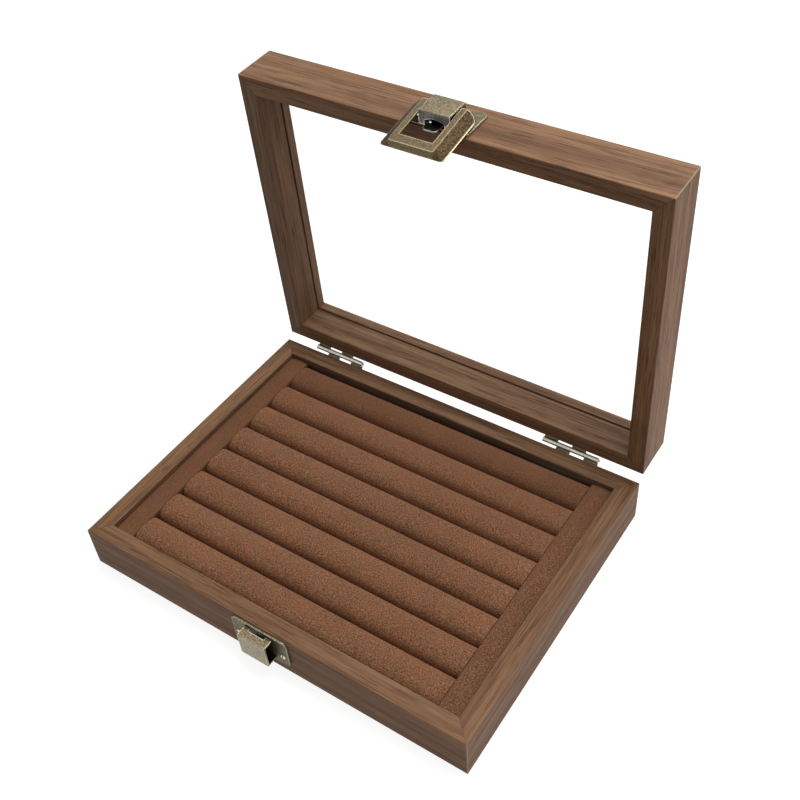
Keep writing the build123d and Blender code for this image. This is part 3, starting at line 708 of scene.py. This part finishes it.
def bar_outline(half, low, crest):
    """A bar's section: upright sides, small round corners and a faintly bowed top."""
    side = crest - BAR_CROWN - BAR_CORNER
    flat = half - BAR_CORNER
    left = arc_points((-flat, side), BAR_CORNER, -pi / 2, -pi / 16, BAR_CORNER / 2)
    right = arc_points((flat, side), BAR_CORNER, pi / 16, pi / 2, BAR_CORNER / 2)
    return [(-half, low), *left, (0, crest), *right, (half, low)]


for name, shade, calm in zip(("end_bar_left", "end_bar_right"), BAR_PAINTED_SHADES, (0.60, 0.0)):
    bar_suede = suede(name + "_cloth", shade, BAR_FLANK_PAINTED_SHADE, BAR_FLANK_DEPTH, calm)
    low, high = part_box(name)
    section = evenly(bar_outline((high.x - low.x) / 2, low.z, high.z), PAD_SPACING)
    middle = (low.x + high.x) / 2
    bar = pad_mesh(name + "_suede", section, middle, low.y, high.y, BAR_CORNER, "Y")
    finish_pad(bar, name, bar_suede)

# --- Keeper ------------------------------------------------------------------
# The keeper on the base is pressed steel plated in antique brass: a plate with
# rounded corners, and a strip bent into a box with a slot in its top. The plating
# is mottled on its faces, with grime and painted shade in its crevices, painted
# shade on its inward faces, painted light on its front, and its edges rubbed
# bright with a painted highlight.
BRASS_FACE = (0.245, 0.202, 0.128, 1)
BRASS_DARK = (0.082, 0.065, 0.038, 1)
# edges rubbed bright and given a painted highlight
BRASS_RUBBED_AND_LIT = (0.800, 0.700, 0.460, 1)
# grime and painted shade where the Ambient Occlusion node finds crevices
CREVICE_GRIME_AND_SHADE = (0.018, 0.015, 0.010, 1)
PLATE_FACE = (0.180, 0.150, 0.098, 1)
PLATE_DARK = (0.058, 0.047, 0.029, 1)
# painted light: a lighter copy of the plating for faces to the front
LIT_FRONT_FACE = (0.355, 0.318, 0.222, 1)
LIT_FRONT_DARK = (0.180, 0.156, 0.104, 1)
# painted shade: a near-black plating for the inward faces of hollows
SHADED_HOLLOW_FACE = (0.014, 0.015, 0.018, 1)
SHADED_HOLLOW_DARK = (0.005, 0.005, 0.006, 1)
SHADED_HOLLOW_BRIGHT = (0.060, 0.055, 0.045, 1)
SHEET_EDGE = 0.00014          # rounding of a pressed sheet's edges
TO_FRONT = Vector((0, -1, 0))
TO_REAR = Vector((0, 1, 0))


def merged_mesh(node):
    """The CAD piece's mesh with its loose triangles joined and its flat faces whole."""
    source = frame["nodes"][node].data
    points = [tuple(vertex.co) for vertex in source.vertices]
    bare = bpy.data.meshes.new(node + "_finish")
    bare.from_pydata(points, [], [tuple(face.vertices) for face in source.polygons])
    shell = bmesh.new()
    shell.from_mesh(bare)
    bmesh.ops.remove_doubles(shell, verts=shell.verts, dist=2e-6)
    bmesh.ops.dissolve_limit(shell, angle_limit=radians(0.8), verts=shell.verts, edges=shell.edges)
    shell.to_mesh(bare)
    shell.free()
    return bare


def finished_part(node, suffix, material, edge, hollow=None, front=None):
    """A copy of a CAD piece with softened edges, which stands for that piece."""
    mesh = merged_mesh(node)
    mesh.materials.append(material)
    low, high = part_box(node)
    middle = (low + high) / 2
    for other in (hollow, front):
        if other:
            mesh.materials.append(other)
    for face in mesh.polygons:
        face.use_smooth = True
        # faces turned inward take the painted-shade material; faces to the front take the third
        if hollow and face.normal.dot(middle - face.center) > 0:
            face.material_index = 1
        elif front and face.normal.dot(TO_FRONT) > 0.95:
            face.material_index = 2
    piece = bpy.data.objects.new(node + suffix, mesh)
    bpy.context.scene.collection.objects.link(piece)
    soften = piece.modifiers.new("edges", "BEVEL")
    soften.width = edge
    soften.segments = 2
    soften.limit_method = "ANGLE"
    soften.angle_limit = radians(32)
    soften.harden_normals = True
    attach(piece, frame["nodes"][node]["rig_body"])
    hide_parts(node)
    return piece


def plated(name, face, dark, bright, shine, rubbed_and_lit=0.9, flanks=False):
    """Plated sheet: mottled, with grime and painted shade in its crevices, edges rubbed bright with a
    painted highlight, and painted shade on its flanks if asked for.
    """
    material = bpy.data.materials.new(name)
    material.use_nodes = True
    tree = material.node_tree
    surface = tree.nodes["Principled BSDF"]
    surface.inputs["Metallic"].default_value = 1.0
    place = add_node(tree, "ShaderNodeTexCoord")
    mottle = add_node(tree, "ShaderNodeTexNoise", i_Scale=1300, i_Detail=5, i_Roughness=0.72)
    speck = add_node(tree, "ShaderNodeTexNoise", i_Scale=4200, i_Detail=2, i_Roughness=0.5)
    for texture in (mottle, speck):
        tree.links.new(place.outputs["Object"], texture.inputs["Vector"])
    patch = math_node(tree, "MULTIPLY_ADD", speck.outputs["Fac"], 0.35,
                      math_node(tree, "MULTIPLY", mottle.outputs["Fac"], 0.65))
    tarnish = fading(tree, patch, 0.39, 0.60)
    colour = mixed(tree, tarnish, face, dark)
    # painted shade on the sloping flanks, broken by brushed streaks
    if flanks:
        apart = add_node(tree, "ShaderNodeSeparateXYZ")
        tree.links.new(place.outputs["Object"], apart.inputs[0])
        brushed = stretched_noise(tree, place.outputs["Object"], FLANK_STREAKS, 3, 0.6)
        beyond = fading(tree, math_node(tree, "ABSOLUTE", apart.outputs[0]),
                        FLANK_START, FLANK_START - 0.0004)
        streaks = math_node(tree, "MULTIPLY_ADD", fading(tree, brushed, 0.62, 0.40), 0.4, 0.6)
        share = math_node(tree, "MULTIPLY", beyond, streaks)
        colour = mixed(tree, share, colour, FLANK_PAINTED_SHADE, "MULTIPLY")
    # grime and painted shade in crevices, where the Ambient Occlusion node finds them
    crevice = add_node(tree, "ShaderNodeAmbientOcclusion", samples=8, i_Distance=0.0025)
    grime_and_shade = math_node(tree, "MULTIPLY", fading(tree, crevice.outputs["AO"], 0.50, 0.97), 0.9)
    colour = mixed(tree, grime_and_shade, colour, CREVICE_GRIME_AND_SHADE)
    # edges rubbed bright, with a painted highlight
    wear_and_highlight = add_node(tree, "ShaderNodeGroup", node_tree=worn_lit_edges, i_Scale=1800, i_Width=0.0007,
                    i_Gain=11.0)
    tree.links.new(place.outputs["Object"], wear_and_highlight.inputs["Vector"])
    colour = mixed(tree, math_node(tree, "MULTIPLY", wear_and_highlight.outputs["Mask"], rubbed_and_lit), colour, bright)
    tree.links.new(colour, surface.inputs["Base Color"])
    rough = math_node(tree, "MULTIPLY_ADD", tarnish, 0.14, shine)
    rough = math_node(tree, "MULTIPLY_ADD", wear_and_highlight.outputs["Mask"], -0.12, rough)
    tree.links.new(rough, surface.inputs["Roughness"])
    bump = add_node(tree, "ShaderNodeBump", i_Strength=0.3, i_Distance=0.00005)
    tree.links.new(patch, bump.inputs["Height"])
    tree.links.new(bump.outputs[0], surface.inputs["Normal"])
    return material


brass_plating = plated("antique_brass", BRASS_FACE, BRASS_DARK, BRASS_RUBBED_AND_LIT, 0.44)
# painted shade for the inside of the housing and the cap
painted_shade_inside = plated("painted_shade_inside", SHADED_HOLLOW_FACE, SHADED_HOLLOW_DARK, SHADED_HOLLOW_BRIGHT, 0.75)
plate_brass = plated("plate_brass", PLATE_FACE, PLATE_DARK, BRASS_RUBBED_AND_LIT, 0.44)
finished_part("keeper_plate", "_brass", plate_brass, SHEET_EDGE)
# painted light on the housing's front faces
lit_front = plated("lit_front", LIT_FRONT_FACE, LIT_FRONT_DARK, BRASS_RUBBED_AND_LIT, 0.42)
finished_part("keeper_housing", "_brass", brass_plating, SHEET_EDGE, painted_shade_inside,
              lit_front)

# --- Screws ------------------------------------------------------------------
# Small pan-head wood screws: two hold each latch plate, two each hinge leaf. A
# slot is cut across the domed head, and a thread runs down the shank.
HEAD_RADIUS = 0.0015
HEAD_RISE = 0.0006
SHANK_RADIUS = 0.0006
SHANK_LENGTH = 0.0050
THREAD_RADIUS = 0.00010
THREAD_TURNS = 7.0
SLOT_WIDTH = 0.0004
SLOT_DEPTH = 0.00035


def screw_tree(material):
    """A Geometry Nodes tree that stands one screw on each point, each turned its own way."""
    tree = bpy.data.node_groups.new("pan_head_screws", "GeometryNodeTree")
    tree.interface.new_socket("Geometry", in_out="INPUT", socket_type="NodeSocketGeometry")
    for label, value in (("Head Radius", HEAD_RADIUS), ("Head Rise", HEAD_RISE),
                         ("Shank Radius", SHANK_RADIUS), ("Shank Length", SHANK_LENGTH),
                         ("Slot Width", SLOT_WIDTH), ("Slot Depth", SLOT_DEPTH)):
        socket = tree.interface.new_socket(label, in_out="INPUT", socket_type="NodeSocketFloat")
        socket.default_value = value
    tree.interface.new_socket("Facing", in_out="INPUT", socket_type="NodeSocketVector")
    tree.interface.new_socket("Geometry", in_out="OUTPUT", socket_type="NodeSocketGeometry")
    entry = tree.nodes.new("NodeGroupInput")
    leave = tree.nodes.new("NodeGroupOutput")
    given = entry.outputs

    disc = add_node(tree, "GeometryNodeMeshCylinder")
    disc.inputs["Vertices"].default_value = 32
    disc.inputs["Fill Segments"].default_value = 5
    tree.links.new(given["Head Radius"], disc.inputs["Radius"])
    tree.links.new(given["Head Rise"], disc.inputs["Depth"])
    spot = add_node(tree, "GeometryNodeInputPosition")
    apart = add_node(tree, "ShaderNodeSeparateXYZ")
    tree.links.new(spot.outputs[0], apart.inputs[0])
    out = math_node(tree, "DIVIDE", math_node(
        tree, "SQRT", math_node(tree, "ADD", math_node(tree, "MULTIPLY", apart.outputs[0], apart.outputs[0]),
                                math_node(tree, "MULTIPLY", apart.outputs[1], apart.outputs[1]))),
        given["Head Radius"])
    fall = math_node(tree, "MULTIPLY", math_node(tree, "POWER", out, 2.4), -0.7)
    top = math_node(tree, "GREATER_THAN", apart.outputs[2], 0.0)
    drop = math_node(tree, "MULTIPLY", math_node(tree, "MULTIPLY", fall, top), given["Head Rise"])
    lift = math_node(tree, "MULTIPLY_ADD", given["Head Rise"], 0.5, drop)
    offset = add_node(tree, "ShaderNodeCombineXYZ")
    tree.links.new(lift, offset.inputs["Z"])
    dome = add_node(tree, "GeometryNodeSetPosition")
    tree.links.new(disc.outputs["Mesh"], dome.inputs["Geometry"])
    tree.links.new(offset.outputs[0], dome.inputs["Offset"])

    slot = add_node(tree, "GeometryNodeMeshCube")
    size = add_node(tree, "ShaderNodeCombineXYZ", i_X=3 * HEAD_RADIUS)
    tree.links.new(given["Slot Width"], size.inputs["Y"])
    tree.links.new(math_node(tree, "MULTIPLY", given["Slot Depth"], 2.0), size.inputs["Z"])
    tree.links.new(size.outputs[0], slot.inputs["Size"])
    raised = add_node(tree, "GeometryNodeTransform")
    height = add_node(tree, "ShaderNodeCombineXYZ")
    tree.links.new(given["Head Rise"], height.inputs["Z"])
    tree.links.new(slot.outputs["Mesh"], raised.inputs["Geometry"])
    tree.links.new(height.outputs[0], raised.inputs["Translation"])
    cut = add_node(tree, "GeometryNodeMeshBoolean", operation="DIFFERENCE")
    tree.links.new(dome.outputs[0], cut.inputs["Mesh 1"])
    tree.links.new(raised.outputs[0], cut.inputs["Mesh 2"])

    shank = add_node(tree, "GeometryNodeMeshCone")
    shank.inputs["Vertices"].default_value = 16
    shank.inputs["Side Segments"].default_value = 4
    tree.links.new(math_node(tree, "MULTIPLY", given["Shank Radius"], 0.35), shank.inputs["Radius Top"])
    tree.links.new(given["Shank Radius"], shank.inputs["Radius Bottom"])
    tree.links.new(given["Shank Length"], shank.inputs["Depth"])
    down = add_node(tree, "GeometryNodeTransform", i_Rotation=(pi, 0, 0))
    tree.links.new(shank.outputs["Mesh"], down.inputs["Geometry"])

    helix = add_node(tree, "GeometryNodeCurveSpiral")
    helix.inputs["Resolution"].default_value = 16
    helix.inputs["Rotations"].default_value = THREAD_TURNS
    tree.links.new(given["Shank Radius"], helix.inputs["Start Radius"])
    tree.links.new(math_node(tree, "MULTIPLY", given["Shank Radius"], 0.45), helix.inputs["End Radius"])
    tree.links.new(math_node(tree, "MULTIPLY", given["Shank Length"], 0.9), helix.inputs["Height"])
    wire = add_node(tree, "GeometryNodeCurvePrimitiveCircle")
    wire.inputs["Resolution"].default_value = 4
    wire.inputs["Radius"].default_value = THREAD_RADIUS
    ridge = add_node(tree, "GeometryNodeCurveToMesh")
    ridge.inputs["Fill Caps"].default_value = True
    tree.links.new(helix.outputs[0], ridge.inputs["Curve"])
    tree.links.new(wire.outputs[0], ridge.inputs["Profile Curve"])
    turned = add_node(tree, "GeometryNodeTransform", i_Rotation=(pi, 0, 0))
    tree.links.new(ridge.outputs[0], turned.inputs["Geometry"])

    screw = add_node(tree, "GeometryNodeJoinGeometry")
    for part in (cut.outputs[0], down.outputs[0], turned.outputs[0]):
        tree.links.new(part, screw.inputs[0])
    turn = add_node(tree, "FunctionNodeRandomValue", data_type="FLOAT")
    turn.inputs[2].default_value = 0.0
    turn.inputs[3].default_value = pi
    turn.inputs["Seed"].default_value = 7
    facing = add_node(tree, "ShaderNodeCombineXYZ")
    tree.links.new(turn.outputs[1], facing.inputs["Z"])
    spin = add_node(tree, "FunctionNodeEulerToRotation")
    tree.links.new(facing.outputs[0], spin.inputs[0])
    aim = add_node(tree, "FunctionNodeEulerToRotation")
    tree.links.new(given["Facing"], aim.inputs[0])
    together = add_node(tree, "FunctionNodeRotateRotation", rotation_space="LOCAL")
    tree.links.new(aim.outputs[0], together.inputs[0])
    tree.links.new(spin.outputs[0], together.inputs[1])
    stand = add_node(tree, "GeometryNodeInstanceOnPoints")
    tree.links.new(given["Geometry"], stand.inputs["Points"])
    tree.links.new(screw.outputs[0], stand.inputs["Instance"])
    tree.links.new(together.outputs[0], stand.inputs["Rotation"])
    real = add_node(tree, "GeometryNodeRealizeInstances")
    tree.links.new(stand.outputs[0], real.inputs[0])
    metal = add_node(tree, "GeometryNodeSetMaterial")
    metal.inputs["Material"].default_value = material
    tree.links.new(real.outputs[0], metal.inputs[0])
    tree.links.new(metal.outputs[0], leave.inputs[0])
    return tree


def screw_metal():
    """Brassed steel with a bright crown, and grime and painted shade in its slot."""
    material = bpy.data.materials.new("screw_brass")
    material.use_nodes = True
    tree = material.node_tree
    surface = tree.nodes["Principled BSDF"]
    surface.inputs["Metallic"].default_value = 1.0
    place = add_node(tree, "ShaderNodeTexCoord")
    stain = add_node(tree, "ShaderNodeTexNoise", i_Scale=1600, i_Detail=3, i_Roughness=0.6)
    tree.links.new(place.outputs["Object"], stain.inputs["Vector"])
    dull = fading(tree, stain.outputs["Fac"], 0.38, 0.60)
    crevice = add_node(tree, "ShaderNodeAmbientOcclusion", samples=8, i_Distance=0.0015)
    colour = mixed(tree, dull, (0.80, 0.74, 0.60, 1), (0.40, 0.35, 0.25, 1))
    # grime and painted shade in the slot and round the head
    colour = mixed(tree, fading(tree, crevice.outputs["AO"], 0.55, 0.95), colour, CREVICE_GRIME_AND_SHADE)
    tree.links.new(colour, surface.inputs["Base Color"])
    tree.links.new(math_node(tree, "MULTIPLY_ADD", dull, 0.2, 0.28), surface.inputs["Roughness"])
    bump = add_node(tree, "ShaderNodeBump", i_Strength=0.2, i_Distance=0.00004)
    tree.links.new(stain.outputs["Fac"], bump.inputs["Height"])
    tree.links.new(bump.outputs[0], surface.inputs["Normal"])
    return material


def head_seats(node, outward):
    """The seat of each screw's head: the CAD node's separate solids, found by their links."""
    shell = bmesh.new()
    shell.from_mesh(frame["nodes"][node].data)
    bmesh.ops.remove_doubles(shell, verts=shell.verts, dist=2e-6)
    left = set(shell.verts)
    seats = []
    while left:
        solid = [left.pop()]
        for vertex in solid:
            for edge in vertex.link_edges:
                other = edge.other_vert(vertex)
                if other in left:
                    left.remove(other)
                    solid.append(other)
        middle = sum((vertex.co for vertex in solid), Vector()) / len(solid)
        reach = max((vertex.co - middle).dot(outward) for vertex in solid)
        seats.append(middle + outward * (reach - HEAD_RISE))
    shell.free()
    return sorted(seats, key=tuple)


def place_screws(node, outward):
    """The screws of one node as one plain mesh, with their heads looking outward."""
    seats = bpy.data.meshes.new(node + "_seats")
    seats.from_pydata([tuple(seat) for seat in head_seats(node, outward)], [], [])
    holder = bpy.data.objects.new(node + "_seats", seats)
    bpy.context.scene.collection.objects.link(holder)
    grow = holder.modifiers.new("screws", "NODES")
    grow.node_group = screws
    facing = next(item for item in screws.interface.items_tree if item.name == "Facing")
    grow[facing.identifier] = outward.to_track_quat("Z", "Y").to_euler()
    ready = holder.evaluated_get(bpy.context.evaluated_depsgraph_get())
    mesh = bpy.data.meshes.new_from_object(ready)
    holder.modifiers.clear()
    bpy.data.objects.remove(holder)
    group = bpy.data.objects.new(node + "_slotted", mesh)
    bpy.context.scene.collection.objects.link(group)
    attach(group, frame["nodes"][node]["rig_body"])
    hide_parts(node)


LID_JOINT = next(joint for joint in frame["joints"] if joint["name"] == "lid_hinge")
LID_OPEN = radians(max(LID_JOINT["range_deg"]))
lid_stands = Euler((-LID_OPEN, 0, 0)).to_matrix()
screw_brass = screw_metal()
screws = screw_tree(screw_brass)
place_screws("keeper_screws", TO_FRONT)
place_screws("hinge_screws_base", TO_REAR)
place_screws("latch_screws", lid_stands @ TO_FRONT)
place_screws("hinge_screws_lid", lid_stands @ TO_REAR)

# --- Hinges ------------------------------------------------------------------
# Two narrow butt hinges of nickel-plated steel behind the box. Each leaf is cut
# with its knuckles, which are rolled round a plain pin, and the leaves' knuckles
# stand in turn along it.
HINGE_CLEAN = (0.62, 0.58, 0.50, 1)
HINGE_DULL = (0.54, 0.50, 0.42, 1)
LEAF_PAINTED_SHADE = (0.22, 0.19, 0.15, 1)
KNUCKLE_RADIUS = 0.0013
STRAP_REACH = 0.0030          # the strap between a knuckle and its plate, in painted shade
HINGE_EDGE = 0.00010
HINGE_LINE = LID_JOINT["pos_m"]


def nickel(name, clean, worn, shine, leaves=False):
    """Nickel plating, a little dull and scratched, with painted shade on the leaves behind their knuckles.
    """
    material = bpy.data.materials.new(name)
    material.use_nodes = True
    tree = material.node_tree
    surface = tree.nodes["Principled BSDF"]
    surface.inputs["Metallic"].default_value = 1.0
    place = add_node(tree, "ShaderNodeTexCoord")
    cloud = add_node(tree, "ShaderNodeTexNoise", i_Scale=420, i_Detail=4, i_Roughness=0.6)
    tree.links.new(place.outputs["Object"], cloud.inputs["Vector"])
    scratch = stretched_noise(tree, place.outputs["Object"], (250, 5200, 5200), 2, 0.5)
    dull = fading(tree, cloud.outputs["Fac"], 0.40, 0.62)
    colour = mixed(tree, dull, clean, worn)
    if leaves:
        apart = add_node(tree, "ShaderNodeSeparateXYZ")
        tree.links.new(place.outputs["Object"], apart.inputs[0])
        away = [math_node(tree, "POWER", math_node(tree, "SUBTRACT", apart.outputs[axis], centre), 2.0)
                for axis, centre in ((1, HINGE_LINE[1]), (2, HINGE_LINE[2]))]
        radius = math_node(tree, "SQRT", math_node(tree, "ADD", *away))
        # painted shade on the strap between each knuckle and its plate
        strap = math_node(tree, "MULTIPLY", math_node(tree, "GREATER_THAN", radius, KNUCKLE_RADIUS),
                          fading(tree, radius, STRAP_REACH, 1.5 * STRAP_REACH))
        colour = mixed(tree, strap, colour, LEAF_PAINTED_SHADE, "MULTIPLY")
    tree.links.new(colour, surface.inputs["Base Color"])
    rough = math_node(tree, "MULTIPLY_ADD", dull, 0.12, shine)
    rough = math_node(tree, "MULTIPLY_ADD", scratch, 0.10, rough)
    tree.links.new(rough, surface.inputs["Roughness"])
    bump = add_node(tree, "ShaderNodeBump", i_Strength=0.15, i_Distance=0.00003)
    tree.links.new(scratch, bump.inputs["Height"])
    tree.links.new(bump.outputs[0], surface.inputs["Normal"])
    return material


hinge_nickel = nickel("hinge_nickel", HINGE_CLEAN, HINGE_DULL, 0.28, leaves=True)
for side in ("left", "right"):
    for part in ("base_leaf", "lid_leaf", "pin"):
        finished_part(f"hinge_{side}_{part}", "_nickel", hinge_nickel, HINGE_EDGE)

# --- Lid walls ---------------------------------------------------------------
# The lid's four walls are mitred and veneered like the base's, with a bevel round
# the window. The pane sits in a kerf inside them.
# Painted light and shade: each wall of the lid gets its own brightness tint.
LID_PAINTED_LIGHT = ((1.02, 1.02, 1.02), (0.89, 0.92, 0.97), (0.88, 0.92, 0.98), (1.17, 1.17, 1.17))
for number, (side, side_light) in enumerate(zip(SIDES, LID_PAINTED_LIGHT)):
    across = side in ("left", "right")
    finish = walnut(f"walnut_lid_{side}", across, side_light, LID_OPEN, HINGE_LINE, 2.1 + 0.43 * number)
    dress(f"lid_{side}_wall", finish)

# --- Glass -------------------------------------------------------------------
# One pane of clear float glass, about 2 mm thick, held all round by the kerf. It
# is clean but for the faintest bloom.
GLASS_TINT = (0.985, 0.995, 0.99, 1)


def clear_glass():
    """Clear glass that lets light fall through it."""
    material = bpy.data.materials.new("clear_glass")
    material.use_nodes = True
    tree = material.node_tree
    surface = tree.nodes["Principled BSDF"]
    surface.inputs["Base Color"].default_value = GLASS_TINT
    surface.inputs["Transmission Weight"].default_value = 1.0
    surface.inputs["IOR"].default_value = 1.45
    place = add_node(tree, "ShaderNodeTexCoord")
    bloom = add_node(tree, "ShaderNodeTexNoise", i_Scale=30, i_Detail=3)
    tree.links.new(place.outputs["Object"], bloom.inputs["Vector"])
    tree.links.new(math_node(tree, "MULTIPLY", bloom.outputs["Fac"], 0.02),
                   surface.inputs["Roughness"])
    path = add_node(tree, "ShaderNodeLightPath")
    past = math_node(tree, "MAXIMUM", path.outputs["Is Shadow Ray"], path.outputs["Is Diffuse Ray"])
    clear = add_node(tree, "ShaderNodeBsdfTransparent")
    clear.inputs["Color"].default_value = GLASS_TINT
    choice = add_node(tree, "ShaderNodeMixShader")
    tree.links.new(past, choice.inputs[0])
    tree.links.new(surface.outputs[0], choice.inputs[1])
    tree.links.new(clear.outputs[0], choice.inputs[2])
    tree.links.new(choice.outputs[0], tree.nodes["Material Output"].inputs["Surface"])
    return material


dress("lid_glass", clear_glass())

# --- Hasp --------------------------------------------------------------------
# The lid's half of the latch, in the same antique brass: a plate with a square
# cap, a tongue under the cap that a small rivet holds, and a pressed frame that
# swings on a pin through the cap's cheeks and snaps over the keeper.
FRAME_FACE = (0.170, 0.132, 0.075, 1)
FRAME_DARK = (0.068, 0.051, 0.028, 1)
FLANK_START = 0.0104          # from the middle of the frame, where its flanks slope off
# painted shade on the frame's sloping flanks
FLANK_PAINTED_SHADE = (0.32, 0.26, 0.21, 1)
FLANK_STREAKS = (900, 900, 1900)
# painted shade: a darker, greyer copy of the plating for the cap's front faces
SHADED_MOUTH_FACE = (0.165, 0.156, 0.148, 1)
SHADED_MOUTH_DARK = (0.095, 0.090, 0.086, 1)
NICKEL_CLEAN = (0.70, 0.68, 0.63, 1)
NICKEL_DULL = (0.58, 0.55, 0.49, 1)
# painted shade: the tongue's face, nearly black where the cap shades it
SHADED_TONGUE_FACE = (0.024, 0.022, 0.019, 1)
SHADED_TONGUE_DARK = (0.010, 0.009, 0.008, 1)
# the bright lip, rubbed and given a painted highlight
LIP_RUBBED_AND_LIT = (0.800, 0.760, 0.680, 1)

frame_plating = plated("frame_brass", FRAME_FACE, FRAME_DARK, BRASS_RUBBED_AND_LIT, 0.44, 0.55, True)
# painted shade on the tongue, with a bright lip
shaded_tongue = plated("shaded_tongue", SHADED_TONGUE_FACE, SHADED_TONGUE_DARK, LIP_RUBBED_AND_LIT, 0.40)
finished_part("latch_plate", "_brass", plate_brass, SHEET_EDGE)
# painted shade on the cap's front faces
shaded_mouth = plated("shaded_mouth", SHADED_MOUTH_FACE, SHADED_MOUTH_DARK, LIP_RUBBED_AND_LIT, 0.42)
finished_part("latch_cap", "_brass", brass_plating, SHEET_EDGE, painted_shade_inside,
              shaded_mouth)
finished_part("latch_tongue", "_steel", shaded_tongue, SHEET_EDGE)
finished_part("latch_frame", "_brass", frame_plating, SHEET_EDGE)
nickel_plating = nickel("nickel_plating", NICKEL_CLEAN, NICKEL_DULL, 0.10)
for node in ("frame_pin", "tongue_rivet"):
    finished_part(node, "_nickel", nickel_plating, HINGE_EDGE)
